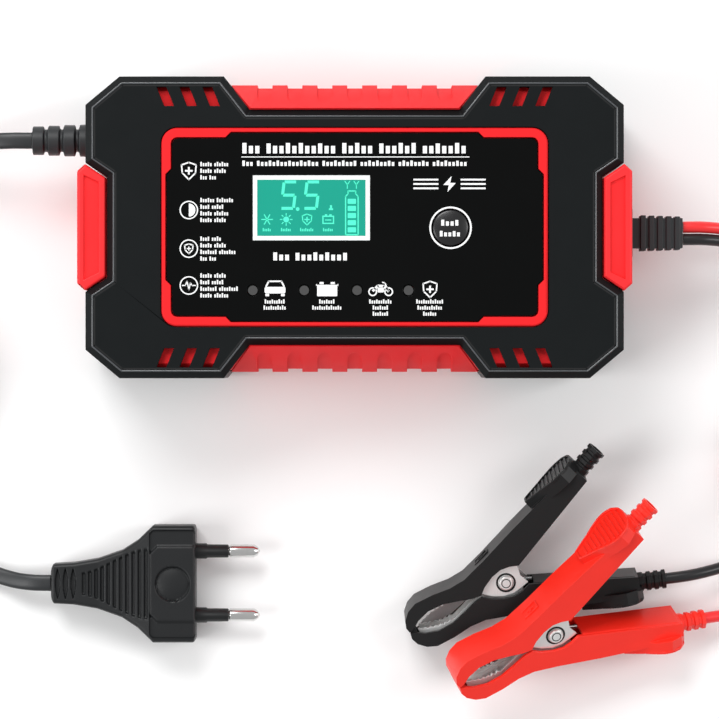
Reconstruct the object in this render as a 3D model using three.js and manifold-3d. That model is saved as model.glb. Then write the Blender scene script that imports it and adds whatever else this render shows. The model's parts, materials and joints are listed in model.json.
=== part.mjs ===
import * as THREE from 'three';
import { mergeVertices } from 'three/addons/utils/BufferGeometryUtils.js';
import Module from 'manifold-3d';

// A small mains battery charger: a two-layer case with a front panel, a mains cord with a
// two-pin plug, and two output leads with alligator clamps. Millimetres, +Z up. The origin is on
// the surface that the feet stand on, below the middle of the case. X is the case's long axis.

const wasm = await Module();
wasm.setup();

// ---- Driving dimensions ----

const GAP = 0.3;

const CASE_HALF_LENGTH = 77.6;
const CASE_HALF_WIDTH = 43.5;
const CASE_BOTTOM = 2;
const CASE_TOP = 45;
const CASE_MIDDLE = (CASE_BOTTOM + CASE_TOP) / 2;
const CORNER_X = 67.8;
const CORNER_Y = 35.3;
const RIM_BEVEL = 2;
const PARTING = 22;
const ARMOUR = 2;
const SHELL_INSET = ARMOUR + GAP;
const SHELL_WALL = 1.8;
const CAVITY_INSET = SHELL_INSET + SHELL_WALL;

const SIDE_NOTCH_FLOOR = 34;
const SIDE_NOTCH_INNER = 30.2;
const SIDE_NOTCH_OUTER = 37.7;
const END_NOTCH_FLOOR = 71.5;
const END_NOTCH_INNER = 14.5;
const END_NOTCH_OUTER = 18.6;

const GRIP_FACE = 41.7;
const GRIP_TOP = 44.6;
const GRIP_SHOULDER = 31.5;
const FLUTE_COUNT = 7;
const FLUTE_PITCH = 8.7;
const FLUTE_WIDTH = 4.35;
const FLUTE_DEPTH = 0.9;
const FLUTE_HEAD = 36;

const PAD_REACH = 80;
const PAD_BOTTOM = 4.5;
const PAD_TOP = 44.2;

const BEZEL = { x: 55.55, y: 28.5, corner: 4.45, top: 45.6 };
const PANEL_FLOOR = CASE_TOP - ARMOUR;
const PANEL_TOP = 45;
const LCD = { left: -29.4, right: 4.5, front: -3.9, back: 15 };
const BUTTON = { x: 27.6, y: -0.2, radius: 5.2, hole: 5.6, flange: 6.4, foot: 38.6, top: 45.4 };
const LIGHT_X = [-29.3, -14.5, 0.7, 15.5];
const LIGHT_Y = -18.2;
const LIGHT_RADIUS = 1.4;
const DISPLAY_BOARD = 32.4;
const MAIN_BOARD = 9.3;
const BOARD_THICKNESS = 1.6;
const ON_MAIN_BOARD = MAIN_BOARD + BOARD_THICKNESS + GAP;
const ON_DISPLAY_BOARD = DISPLAY_BOARD + BOARD_THICKNESS + GAP;

const SCREW_AT = [62, 30];
const FOOT_AT = [50, 33];
const FOOT_RADIUS = 5;

const MAINS_EXIT = { x: -94.4, y: 26.1, z: PARTING };
const OUTPUT_EXIT = { x: 96, y: -1.1, z: PARTING };

// The mains cord is flat, 5 wide; its tubes are drawn round, at its thickness.
const CORD_THICKNESS = 3.2;
const LEAD_DIAMETER = 3.4;
const LEAD_SPACING = 1.9;
const MAINS_COIL = { x: -145, y: -50, inner: 21, outer: 34, height: 10.6 };
const OUTPUT_COIL = { x: 141, y: -68, inner: 12.6, outer: 27.4, height: 7.4 };

const PLUG = { front: -47.2, y: -104.5, length: 42.8, width: 34.6, thickness: 13.7, block: 12.5 };
const PIN = { spacing: 19, length: 19, radius: 2, sleeve: 10, collar: 3.4, core: 1.2, depth: 8 };

// The clamps. Each is drawn about its pivot: u runs from the nose to the handles, v is square to
// the line on which the jaws close, and w runs along the rivet.
const BOOT_HALF_WIDTH = 6;
const BOOT_WALL = 1.3;
const THUMB_HALF_WIDTH = 8.2;
const JAW_STEEL = 0.9;
const STUB = { u: 36.2, v: 20.4, angle: 21, bore: 2.1, neck: 2.6, ring: 3.1 };
const CLAMP_SCALE = 0.95;
const RED_CLAMP = { pivot: [57.8, -117.2, 19.2], heading: 27.5, pitch: 2, roll: 30 };
const BLACK_CLAMP = { pivot: [44.6, -103.2, 9.6], heading: 27.5, pitch: -4.6, roll: 11 };

// The routes of the cords where they are not coiled.
const MAINS_ROUTE = [
  [-94.7, 26.1, 22], [-102, 26.1, 21.7], [-110, 25.7, 19.4], [-118, 24.6, 14.6], [-126, 22.6, 8.8],
  [-134, 19.4, 4.2], [-142, 14.8, 2], [-151, 8, 1.8], [-160, -1, 1.8], [-168, -11.5, 1.8],
  [-174.5, -23, 1.8], [-179.6, -36, 2.4], [-181.6, -44, 3],
];
const PLUG_ROUTE = [
  [-145, -86.4, 6.4], [-137, -87.6, 3.8], [-130, -89.8, 2.2], [-123, -93.4, 1.8], [-116, -97.8, 1.8],
  [-109, -101.4, 2.4], [-102, -103.6, 4.4], [-96, -104.4, 6.4], [-90.4, -104.5, 6.95],
];
const OUTPUT_ROUTE = [
  [96.3, -1.1, 22], [103, -1.1, 21.7], [110, -1.8, 18.6], [117, -3.6, 13], [124, -6.6, 7.2],
  [131, -10.6, 3.2], [139, -16, 1.9], [147, -22.4, 1.9], [155, -30.4, 1.9], [162.4, -40, 1.9],
  [168.4, -50.4, 2], [172.6, -60.4, 2.2],
];

const RED_CLAMP_ROUTE = [
  [142, -101.3, 1.9], [136, -102.2, 1.9], [130, -104.8, 1.9], [124, -108.4, 2.1],
  [117.4, -111.7, 3.4], [111, -113.9, 5.1], [103.64, -115.05, 6.6], [95.77, -116.33, 8.31],
  [89.31, -117.38, 9.72], [81.76, -118.46, 11.43], [73.81, -119.59, 13.22], [67.95, -120.45, 14.56],
];
const BLACK_CLAMP_ROUTE = [
  [142, -97.5, 1.9], [135, -97.5, 1.9], [128, -97.2, 1.9], [121, -97.3, 2.3], [114, -98.5, 4.1],
  [107, -100.5, 6.6], [99.7, -102.1, 8.5], [92.2, -103.13, 8.73], [84.05, -104.11, 8.67],
  [77.5, -104.9, 8.63], [69.6, -105.7, 8.6], [61.5, -106.5, 8.6], [55.4, -107.3, 8.55],
];

// ---- Materials ----

function plastic(color, roughness) {
  return new THREE.MeshStandardMaterial({ color, roughness, metalness: 0, flatShading: true });
}

function metal(color, roughness) {
  return new THREE.MeshStandardMaterial({ color, roughness, metalness: 1, flatShading: true });
}

const BLACK_ARMOUR = plastic(0x1c1f20, 0.55);
const RED_PLASTIC = plastic(0xf03a3c, 0.4);
const DEEP_RED = plastic(0xe01c20, 0.4);
const GLOSS_BLACK = plastic(0x08090a, 0.12);
const DISPLAY_GREEN = plastic(0x14b296, 0.15);
const LIGHT_GREY = plastic(0x464646, 0.3);
const RUBBER = plastic(0x181818, 0.8);
const BOARD_GREEN = plastic(0x1f5a35, 0.5);
const PART_BLACK = plastic(0x202225, 0.5);
const COPPER = metal(0xb87333, 0.4);
const ALUMINIUM = metal(0xb8babd, 0.45);
const STEEL = metal(0xc8cacc, 0.3);

// ---- Solids ----

function solid(geometry) {
  const bare = geometry.index ? geometry.toNonIndexed() : geometry.clone();
  bare.deleteAttribute('normal');
  bare.deleteAttribute('uv');
  const merged = mergeVertices(bare, 1e-4);
  const corners = merged.index.array;
  const kept = [];
  for (let i = 0; i < corners.length; i += 3) {
    const [a, b, c] = [corners[i], corners[i + 1], corners[i + 2]];
    if (a !== b && b !== c && c !== a) kept.push(a, b, c);
  }
  return new wasm.Manifold(new wasm.Mesh({
    numProp: 3,
    vertProperties: Float32Array.from(merged.attributes.position.array),
    triVerts: Uint32Array.from(kept),
  }));
}

function surface(manifold) {
  const mesh = manifold.getMesh();
  const geometry = new THREE.BufferGeometry();
  geometry.setAttribute('position', new THREE.BufferAttribute(mesh.vertProperties, 3));
  geometry.setIndex(new THREE.BufferAttribute(mesh.triVerts, 1));
  geometry.computeVertexNormals();
  return geometry;
}

function joined(...pieces) {
  return pieces.reduce((whole, piece) => whole.add(piece));
}

function shapeOf(outline) {
  if (outline instanceof THREE.Shape) return outline;
  return new THREE.Shape(outline.map(([x, y]) => new THREE.Vector2(x, y)));
}

function extruded(outline, low, high, bevel = 0, curveSegments = 4) {
  const geometry = new THREE.ExtrudeGeometry(shapeOf(outline), {
    depth: high - low - 2 * bevel,
    bevelEnabled: bevel > 0,
    bevelThickness: bevel,
    bevelSize: bevel,
    bevelOffset: -bevel,
    bevelSegments: 1,
    curveSegments,
  });
  return geometry.translate(0, 0, low + bevel);
}

function prism(outline, low, high, bevel = 0, curveSegments = 4) {
  return solid(extruded(outline, low, high, bevel, curveSegments));
}

// A prism along X whose outline is drawn in Y and Z.
function beam(outline, from, to, bevel = 0) {
  const axes = new THREE.Matrix4().makeBasis(
    new THREE.Vector3(0, 1, 0), new THREE.Vector3(0, 0, 1), new THREE.Vector3(1, 0, 0));
  return solid(extruded(outline, from, to, bevel).applyMatrix4(axes));
}

function block(x0, x1, y0, y1, z0, z1) {
  const geometry = new THREE.BoxGeometry(x1 - x0, y1 - y0, z1 - z0);
  return solid(geometry.translate((x0 + x1) / 2, (y0 + y1) / 2, (z0 + z1) / 2));
}

// A turned piece about the vertical line through x, y. The profile is a list of radius, height.
function turnedGeometry(profile, segments) {
  const points = profile.map(([radius, height]) => new THREE.Vector2(radius, height));
  return new THREE.LatheGeometry(points, segments).rotateX(Math.PI / 2);
}

function turned(profile, x, y, segments = 14) {
  return solid(turnedGeometry(profile, segments).translate(x, y, 0));
}

// A turned piece about a line along X.
function turnedAlongX(profile, y, z, segments = 20) {
  return solid(turnedGeometry(profile, segments).rotateY(Math.PI / 2).translate(0, y, z));
}

function rod(radius, low, high, x, y, segments = 12) {
  return turned([[0, low], [radius, low], [radius, high], [0, high]], x, y, segments);
}

function ring(inner, outer, low, high, x, y, segments = 32) {
  return turned([
    [inner, low], [outer, low], [outer, high], [inner, high], [inner, low],
  ], x, y, segments);
}

function rectangle(x0, x1, y0, y1) {
  return [[x0, y0], [x1, y0], [x1, y1], [x0, y1]];
}

function roundedRectangle(halfX, halfY, radius) {
  const shape = new THREE.Shape();
  shape.absarc(halfX - radius, halfY - radius, radius, 0, Math.PI / 2);
  shape.absarc(radius - halfX, halfY - radius, radius, Math.PI / 2, Math.PI);
  shape.absarc(radius - halfX, radius - halfY, radius, Math.PI, 1.5 * Math.PI);
  shape.absarc(halfX - radius, radius - halfY, radius, 1.5 * Math.PI, 2 * Math.PI);
  return shape;
}

// An outline that is the same in all four quarters, from its points in the first quarter.
function mirroredQuarter(points) {
  const lower = points.map(([x, y]) => [x, -y]).reverse();
  const right = [...lower, ...points];
  const left = right.map(([x, y]) => [-x, y]).reverse();
  return [...right, ...left];
}

// ---- Case outlines ----

function caseOutline(inset) {
  const x = CASE_HALF_LENGTH - inset;
  const y = CASE_HALF_WIDTH - inset;
  const run = CASE_HALF_LENGTH - CORNER_X;
  const rise = CASE_HALF_WIDTH - CORNER_Y;
  const reach = rise * CASE_HALF_LENGTH + run * CORNER_Y - inset * Math.hypot(run, rise);
  return mirroredQuarter([[x, (reach - rise * x) / run], [(reach - run * y) / rise, y]]);
}

function caseBlock(inset) {
  return prism(caseOutline(inset), CASE_BOTTOM + inset, CASE_TOP - inset, RIM_BEVEL);
}

function armourOutline() {
  return mirroredQuarter([
    [END_NOTCH_FLOOR, END_NOTCH_INNER], [CASE_HALF_LENGTH, END_NOTCH_OUTER],
    [CASE_HALF_LENGTH, CORNER_Y], [CORNER_X, CASE_HALF_WIDTH],
    [SIDE_NOTCH_OUTER, CASE_HALF_WIDTH], [SIDE_NOTCH_INNER, SIDE_NOTCH_FLOOR],
  ]);
}

// The space of a long side's notch, drawn in from its edges by inset, out as far as reach.
function sideNotch(side, inset, reach) {
  const slope = (SIDE_NOTCH_OUTER - SIDE_NOTCH_INNER) / (CASE_HALF_WIDTH - SIDE_NOTCH_FLOOR);
  const start = SIDE_NOTCH_FLOOR + inset;
  const halfWidth = (y) => SIDE_NOTCH_INNER + slope * (y - SIDE_NOTCH_FLOOR) - inset * Math.hypot(1, slope);
  return [
    [-halfWidth(start), side * start], [halfWidth(start), side * start],
    [halfWidth(reach), side * reach], [-halfWidth(reach), side * reach],
  ];
}

function endNotch(end, reach) {
  const slope = (END_NOTCH_OUTER - END_NOTCH_INNER) / (CASE_HALF_LENGTH - END_NOTCH_FLOOR);
  const outer = END_NOTCH_INNER + slope * (reach - END_NOTCH_FLOOR);
  return [
    [end * END_NOTCH_FLOOR, -END_NOTCH_INNER], [end * reach, -outer],
    [end * reach, outer], [end * END_NOTCH_FLOOR, END_NOTCH_INNER],
  ];
}

// The grip's section in Y and Z, drawn in by depth: a steep shoulder, an upright face, and the
// same again underneath.
function gripSection(side, depth) {
  const run = GRIP_FACE - SIDE_NOTCH_FLOOR - GAP;
  const drop = GRIP_TOP - GRIP_SHOULDER;
  const slant = Math.hypot(run, drop);
  const reach = (drop * GRIP_FACE + run * GRIP_SHOULDER) / slant - depth;
  const face = GRIP_FACE - depth;
  const shoulderZ = (reach * slant - drop * face) / run;
  const topY = (reach * slant - run * GRIP_TOP) / drop;
  const mirrored = (z) => 2 * CASE_MIDDLE - z;
  const inner = 28;
  return [
    [side * inner, mirrored(GRIP_TOP)], [side * topY, mirrored(GRIP_TOP)],
    [side * face, mirrored(shoulderZ)], [side * face, shoulderZ],
    [side * topY, GRIP_TOP], [side * inner, GRIP_TOP],
  ];
}

function fluteOutline(side, x) {
  const shape = new THREE.Shape();
  const radius = FLUTE_WIDTH / 2;
  const head = side * (FLUTE_HEAD + radius);
  const facing = side > 0 ? Math.PI : 0;
  shape.moveTo(x + side * radius, side * CASE_HALF_WIDTH);
  shape.lineTo(x - side * radius, side * CASE_HALF_WIDTH);
  shape.absarc(x, head, radius, facing, facing + Math.PI);
  return shape;
}

function flutes(side) {
  const first = -FLUTE_PITCH * (FLUTE_COUNT - 1) / 2;
  const cuts = Array.from({ length: FLUTE_COUNT }, (_, i) => (
    prism(fluteOutline(side, first + i * FLUTE_PITCH), CASE_BOTTOM, CASE_TOP, 0, 3)));
  return joined(...cuts);
}

function grip(side) {
  const reach = CASE_HALF_WIDTH + 1;
  const full = beam(gripSection(side, 0), -SIDE_NOTCH_OUTER, SIDE_NOTCH_OUTER);
  const core = beam(gripSection(side, FLUTE_DEPTH), -SIDE_NOTCH_OUTER, SIDE_NOTCH_OUTER);
  const fluted = full.subtract(flutes(side).subtract(core));
  return fluted.intersect(prism(sideNotch(side, GAP, reach), CASE_BOTTOM, CASE_TOP));
}

// ---- Openings shared by the layers ----

function panelOpenings(low, high) {
  const window = block(LCD.left, LCD.right, LCD.front, LCD.back, low, high);
  const button = rod(BUTTON.hole, low, high, BUTTON.x, BUTTON.y, 24);
  const lights = LIGHT_X.map((x) => rod(LIGHT_RADIUS + GAP, low, high, x, LIGHT_Y, 10));
  return joined(window, button, ...lights);
}

function glandOpenings() {
  const mains = turnedAlongX([[0, -85], [3.6, -85], [3.6, -70], [0, -70]], MAINS_EXIT.y, PARTING);
  const output = block(66, 90, OUTPUT_EXIT.y - 5.4, OUTPUT_EXIT.y + 5.4, PARTING - 4.5, PARTING + 4.5);
  return mains.add(output);
}

function aboveParting() {
  return block(-90, 90, -50, 50, PARTING + GAP / 2, 60);
}

function belowParting() {
  return block(-90, 90, -50, 50, -5, PARTING - GAP / 2);
}

function corners([x, y]) {
  return [[x, y], [-x, y], [-x, -y], [x, -y]];
}

// ---- Case ----

function ventSlots() {
  const slots = [];
  const lean = 2.2;
  const width = 2.8;
  const half = 2.75;
  for (const sideX of [-1, 1]) {
    for (const sideY of [-1, 1]) {
      for (const x of [41.3, 47.9, 54.5]) {
        const middle = sideX * x;
        const top = middle + (sideX * sideY > 0 ? lean : -lean) / 2;
        const low = 2 * middle - top;
        const y = sideY * 37.6;
        slots.push(prism([
          [low - width / 2, y - half], [low + width / 2, y - half],
          [top + width / 2, y + half], [top - width / 2, y + half],
        ], CASE_TOP - 5, CASE_TOP + 5));
      }
    }
  }
  return joined(...slots);
}

function armourSkin() {
  const outer = prism(armourOutline(), CASE_BOTTOM, CASE_TOP, RIM_BEVEL);
  return outer.subtract(caseBlock(ARMOUR)).subtract(glandOpenings());
}

function topArmour() {
  const window = roundedRectangle(BEZEL.x + GAP, BEZEL.y + GAP, BEZEL.corner + GAP);
  return armourSkin().intersect(aboveParting())
    .subtract(prism(window, 40, 50))
    .subtract(ventSlots());
}

function bottomArmour() {
  const recesses = corners(FOOT_AT).map(([x, y]) => rod(FOOT_RADIUS + GAP, 0, 2.9, x, y, 14));
  const screws = corners(SCREW_AT).map(([x, y]) => rod(3.3, 0, 6, x, y, 10));
  return armourSkin().intersect(belowParting()).subtract(joined(...recesses, ...screws));
}

function innerCase() {
  const reach = CASE_HALF_WIDTH + 1;
  let body = caseBlock(SHELL_INSET);
  let cavity = caseBlock(CAVITY_INSET);
  for (const side of [-1, 1]) {
    const section = beam(gripSection(side, FLUTE_DEPTH), -50, 50);
    const above = prism(sideNotch(side, 0, reach), CASE_BOTTOM, CASE_TOP).subtract(section);
    body = body.subtract(above).add(grip(side));
    const band = side > 0 ? block(-39.7, 39.7, 30, 45, 0, 50) : block(-39.7, 39.7, -45, -30, 0, 50);
    cavity = cavity.subtract(band.subtract(beam(gripSection(side, 2), -50, 50)));
  }
  for (const end of [-1, 1]) {
    body = body.subtract(prism(endNotch(end, PAD_REACH), 0, 50));
    const wall = END_NOTCH_FLOOR - 2;
    const face = end > 0 ? block(wall, 80, -20, 20, 0, 50) : block(-80, -wall, -20, 20, 0, 50);
    cavity = cavity.subtract(face);
  }
  return body.subtract(cavity).subtract(glandOpenings());
}

function upperShell(inner) {
  const screwPosts = corners(SCREW_AT).map(([x, y]) => rod(4.5, PARTING + GAP, 41.5, x, y, 10));
  const screwHoles = corners(SCREW_AT).map(([x, y]) => rod(1.8, PARTING - 5, 37, x, y, 8));
  const boardPosts = corners([46, 20]).map(([x, y]) => rod(2.6, ON_DISPLAY_BOARD, 41.5, x, y, 8));
  return joined(inner.intersect(aboveParting()), ...screwPosts, ...boardPosts)
    .subtract(joined(...screwHoles, panelOpenings(38, 50)));
}

function lowerShell(inner) {
  const screwPosts = corners(SCREW_AT).map(([x, y]) => rod(4.5, 5, PARTING - GAP, x, y, 10));
  const screwHoles = corners(SCREW_AT).map(([x, y]) => (
    turned([[0, 3], [3.3, 3], [3.3, 6.6], [1.8, 6.6], [1.8, 25], [0, 25]], x, y, 10)));
  const boardPosts = corners([51, 25]).map(([x, y]) => rod(3, 5, MAIN_BOARD - GAP, x, y, 8));
  return joined(inner.intersect(belowParting()), ...screwPosts, ...boardPosts)
    .subtract(joined(...screwHoles));
}

function padOutline(end) {
  return [
    [end * (END_NOTCH_FLOOR + GAP), -14.3], [end * 77.7, -18.3], [end * PAD_REACH, -16.2],
    [end * PAD_REACH, 16.2], [end * 77.7, 18.3], [end * (END_NOTCH_FLOOR + GAP), 14.3],
  ];
}

function endPad(end) {
  const inset = [[end * 73.7, -12.9], [end * 78, -15], [end * 78, 15], [end * 73.7, 12.9]];
  return prism(padOutline(end), PAD_BOTTOM, PAD_TOP, 0.6)
    .subtract(prism(inset, PAD_TOP - 1, PAD_TOP + 1))
    .subtract(glandOpenings());
}

// ---- Front panel ----

function panelOutline(inset) {
  const thin = { x: 54.45 - inset, y: 27.4 - inset };
  const thick = { x: 52.9 - inset, y: 25.85 - inset };
  const radius = 1.8;
  const points = [[thin.x, 15.2], [thick.x, 16.75]];
  for (let step = 0; step <= 3; step += 1) {
    const turn = (step / 3) * Math.PI / 2;
    points.push([
      thick.x - radius + radius * Math.cos(turn), thick.y - radius + radius * Math.sin(turn),
    ]);
  }
  points.push([37.15, thick.y], [35.6, thin.y]);
  return mirroredQuarter(points);
}

function bezelFrame() {
  return prism(roundedRectangle(BEZEL.x, BEZEL.y, BEZEL.corner), PANEL_FLOOR, BEZEL.top, 0.4)
    .subtract(prism(panelOutline(0), 40, 50));
}

function labelPanel() {
  return prism(panelOutline(GAP), PANEL_FLOOR, PANEL_TOP).subtract(panelOpenings(40, 50));
}

function lcdModule() {
  return block(
    LCD.left + GAP, LCD.right - GAP, LCD.front + GAP, LCD.back - GAP, ON_DISPLAY_BOARD, 44.7);
}

function modeButton() {
  return turned([
    [0, BUTTON.foot], [1.8, BUTTON.foot], [1.8, 39.4], [BUTTON.flange, 39.4],
    [BUTTON.flange, 40.5], [BUTTON.radius, 40.5], [BUTTON.radius, 45.1], [4.6, BUTTON.top],
    [0, BUTTON.top],
  ], BUTTON.x, BUTTON.y, 24);
}

function tactSwitch() {
  const body = block(BUTTON.x - 3, BUTTON.x + 3, BUTTON.y - 3, BUTTON.y + 3, ON_DISPLAY_BOARD, 37);
  return body.add(rod(1.7, 36.5, 37.7, BUTTON.x, BUTTON.y, 12));
}

// ---- Electronics ----

function transformerCore() {
  const core = block(-9, 25, -3, 11, ON_MAIN_BOARD, 31.2);
  const window = (x) => block(x, x + 7, -5, 13, ON_MAIN_BOARD + 4, 27.2);
  return core.subtract(window(-4).add(window(13)));
}

function transformerWinding() {
  const wound = block(-3.7, 19.7, -9.5, 17.5, ON_MAIN_BOARD + 4.3, 26.9);
  return wound.subtract(block(2.7, 13.3, -3.3, 11.3, 10, 30));
}

function heatSink(x, y, length) {
  const fins = 5;
  const pitch = (length - 1.5) / (fins - 1);
  const plate = block(x, x + length, y, y + 2.5, ON_MAIN_BOARD, 30);
  const rows = Array.from({ length: fins }, (_, i) => (
    block(x + i * pitch, x + i * pitch + 1.5, y - 6, y + 1, ON_MAIN_BOARD, 30)));
  return joined(plate, ...rows);
}

function powerPackage(x, y) {
  const moulding = block(x, x + 10, y, y + 4.4, ON_MAIN_BOARD + 3, ON_MAIN_BOARD + 12);
  const tab = block(x, x + 10, y, y + 1.3, ON_MAIN_BOARD + 3, ON_MAIN_BOARD + 18);
  const legs = block(x + 1, x + 9, y + 1.5, y + 2.3, ON_MAIN_BOARD, ON_MAIN_BOARD + 4);
  return joined(moulding, tab, legs);
}

function capacitor(radius, height, x, y) {
  const top = ON_MAIN_BOARD + height;
  return turned([
    [0, ON_MAIN_BOARD], [radius, ON_MAIN_BOARD], [radius, ON_MAIN_BOARD + 1.6],
    [radius - 0.5, ON_MAIN_BOARD + 2.2], [radius, ON_MAIN_BOARD + 2.8],
    [radius, top - 0.6], [radius - 0.6, top], [0, top],
  ], x, y, 18);
}

function mainsFuse() {
  return turnedAlongX([
    [0, -55], [2.6, -55], [2.6, -49], [2.3, -49], [2.3, -41], [2.6, -41], [2.6, -35], [0, -35],
  ], 23, ON_MAIN_BOARD + 2.8, 14);
}

// ---- Fasteners and feet ----

function caseScrew([x, y]) {
  return turned([
    [0, 4.6], [2.9, 4.6], [2.9, 5.4], [2.4, 6.3], [1.5, 6.3], [1.5, 35], [0, 36.4],
  ], x, y, 10);
}

function foot([x, y]) {
  return turned([
    [0, 0], [FOOT_RADIUS - 0.6, 0], [FOOT_RADIUS, 0.6], [FOOT_RADIUS, 2.6], [0, 2.6],
  ], x, y, 14);
}

// ---- Strain reliefs ----

function mainsGland() {
  const profile = [[0, MAINS_EXIT.x]];
  const ribs = 3;
  const ribPitch = 4.6;
  for (let i = 0; i < ribs; i += 1) {
    const start = MAINS_EXIT.x + i * ribPitch;
    const radius = 4.2 + i * 0.2;
    profile.push([radius, start], [radius, start + 3.2], [3.3, start + 3.5], [3.3, start + 4.3]);
  }
  profile.push([4.7, -80.6], [4.7, -77.9], [3.3, -77.9], [3.3, -73.2], [5, -73.2], [5, -71.2], [0, -71.2]);
  return turnedAlongX(profile, MAINS_EXIT.y, MAINS_EXIT.z, 12);
}

function outputGland() {
  const slab = (x0, x1, halfY, halfZ) => block(
    x0, x1, OUTPUT_EXIT.y - halfY, OUTPUT_EXIT.y + halfY, PARTING - halfZ, PARTING + halfZ);
  const ribs = Array.from({ length: 5 }, (_, i) => {
    const start = 83.6 + 2.5 * i;
    const shrink = 0.08 * i;
    return slab(start, start + 1.6, 5.2 - shrink, 4 - shrink);
  });
  return joined(
    slab(66.8, 69.2, 8, 6.4), slab(68.5, 81, 5, 4.1), slab(80.3, 81.2, 7, 5.4),
    slab(81, OUTPUT_EXIT.x, 4.4, 3.2), ...ribs);
}

// ---- Cords ----

function curveThrough(points) {
  return new THREE.CatmullRomCurve3(points.map(([x, y, z]) => new THREE.Vector3(x, y, z)));
}

// The same route moved sideways on the level, to the left of its direction by offset.
function sideways(points, offset) {
  return points.map(([x, y, z], i) => {
    const before = points[Math.max(i - 1, 0)];
    const after = points[Math.min(i + 1, points.length - 1)];
    const run = after[0] - before[0];
    const rise = after[1] - before[1];
    const length = Math.hypot(run, rise);
    return [x - (rise / length) * offset, y + (run / length) * offset, z];
  });
}

function tube(points, diameter, stepLength) {
  const curve = curveThrough(points);
  const section = new THREE.Shape();
  section.absellipse(0, 0, diameter / 2, diameter / 2, 0, 2 * Math.PI);
  const geometry = new THREE.ExtrudeGeometry(section, {
    extrudePath: curve,
    steps: Math.ceil(curve.getLength() / stepLength),
    curveSegments: 4,
  });
  return solid(geometry);
}

function lead(points) {
  return tube(points, LEAD_DIAMETER, 8);
}

// ---- Mains plug ----

function plugOutline() {
  const side = [
    [PLUG.block, PLUG.width / 2], [17, 13], [21.8, 9.9], [29, 7.4], [36, 6.2], [42, 5.9],
  ];
  const back = PLUG.front - PLUG.length;
  const upper = side.map(([x, y]) => [PLUG.front - x, y]);
  const lower = upper.map(([x, y]) => [x, -y]).reverse();
  const front = [[PLUG.front, -PLUG.width / 2], [PLUG.front, PLUG.width / 2]];
  return [...front, ...upper, [back, 5], [back, -5], ...lower];
}

// The plug from the side: full height at the front block, thinner towards the cord.
function plugSide() {
  const half = PLUG.thickness / 2;
  const back = PLUG.front - PLUG.length;
  const line = [
    [PLUG.front, half], [PLUG.front - PLUG.block - 1, half], [-68, 5.6], [-76, 4.9], [back, 4.6],
  ];
  return [...line, ...line.map(([x, z]) => [x, -z]).reverse()];
}

function plugBody() {
  const middle = PLUG.thickness / 2 + 0.1;
  const plan = prism(plugOutline(), -10, 10);
  const upright = new THREE.Matrix4().makeBasis(
    new THREE.Vector3(1, 0, 0), new THREE.Vector3(0, 0, 1), new THREE.Vector3(0, -1, 0));
  const side = solid(extruded(plugSide(), -20, 20, 0).applyMatrix4(upright));
  let body = plan.intersect(side);
  for (const y of [-PIN.spacing / 2, PIN.spacing / 2]) {
    const sleeve = turnedAlongX([
      [0, -2], [2.35, -2], [2.35, PIN.collar], [PIN.radius, PIN.collar],
      [PIN.radius, PIN.sleeve - GAP], [0, PIN.sleeve - GAP],
    ].map(([radius, x]) => [radius, x + PLUG.front]), y, 0, 14);
    const bore = turnedAlongX([
      [0, -PIN.depth - GAP], [PIN.core + GAP, -PIN.depth - GAP], [PIN.core + GAP, 12], [0, 12],
    ].map(([radius, x]) => [radius, x + PLUG.front]), y, 0, 14);
    body = body.add(sleeve).subtract(bore);
  }
  const geometry = surface(body);
  return geometry.translate(0, PLUG.y, middle);
}

function plugPin(side) {
  const profile = [
    [0, -PIN.depth], [PIN.core, -PIN.depth], [PIN.core, PIN.sleeve], [PIN.radius - 0.1, PIN.sleeve],
    [PIN.radius - 0.1, PIN.length - 1.8], [1.2, PIN.length - 0.5], [0, PIN.length],
  ].map(([radius, x]) => [radius, x + PLUG.front]);
  return turnedAlongX(profile, PLUG.y + side * PIN.spacing / 2, PLUG.thickness / 2 + 0.1, 14);
}

// ---- Clamps ----

// One half's side outline, above the closing line; the other half is the same, turned over.
function bootOutline() {
  const shape = new THREE.Shape();
  const at = (points) => points.map(([u, v]) => new THREE.Vector2(u, v));
  shape.moveTo(-33.7, 0.2);
  shape.splineThru(at([[-31.6, 0.9], [-28.6, 2.8], [-23, 3.8], [-17, 2.5], [-12, 0.8], [-8.6, 0.3]]));
  shape.splineThru(at([[-5.6, 2.7], [-1, 4.6], [2.6, 4.6], [6.2, 3.4]]));
  shape.lineTo(37.2, 17.4);
  shape.lineTo(35.9, 21.6);
  shape.splineThru(at([[21, 18.5], [5, 12.8], [-7.8, 8.2], [-14.2, 6.9], [-21, 7.6], [-28, 7.7]]));
  shape.splineThru(at([[-32, 5.8], [-34, 2.6], [-33.7, 0.2]]));
  return shape;
}

// The hollow inside a half: it holds the jaw, the spring's leg and the lead.
function bootChannel() {
  return [
    [-31.8, -2], [-31.9, 2.4], [-29.4, 5.2], [-26, 6.2], [-21, 5.9], [-14.2, 5.2], [-7.8, 6.5],
    [5, 11], [21, 16.7], [33.6, 19.4], [35.2, 15.6], [36, -2],
  ];
}

function alongStub(profile, segments) {
  const geometry = turnedGeometry(profile, segments).rotateY(Math.PI / 2);
  return solid(geometry.rotateZ(THREE.MathUtils.degToRad(STUB.angle)).translate(STUB.u, STUB.v, 0));
}

function stub() {
  const profile = [[0, -2], [STUB.ring, -2], [STUB.ring, 1.4]];
  for (const start of [1.4, 3.8, 6.2]) {
    profile.push([STUB.neck, start + 0.3], [STUB.neck, start + 1], [STUB.ring, start + 1.3]);
    profile.push([STUB.ring, start + 2.4]);
  }
  profile.push([0, 8.6]);
  return alongStub(profile, 8);
}

function stubBore() {
  return alongStub([[0, -14], [STUB.bore, -14], [STUB.bore, 10], [0, 10]], 10);
}

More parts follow.
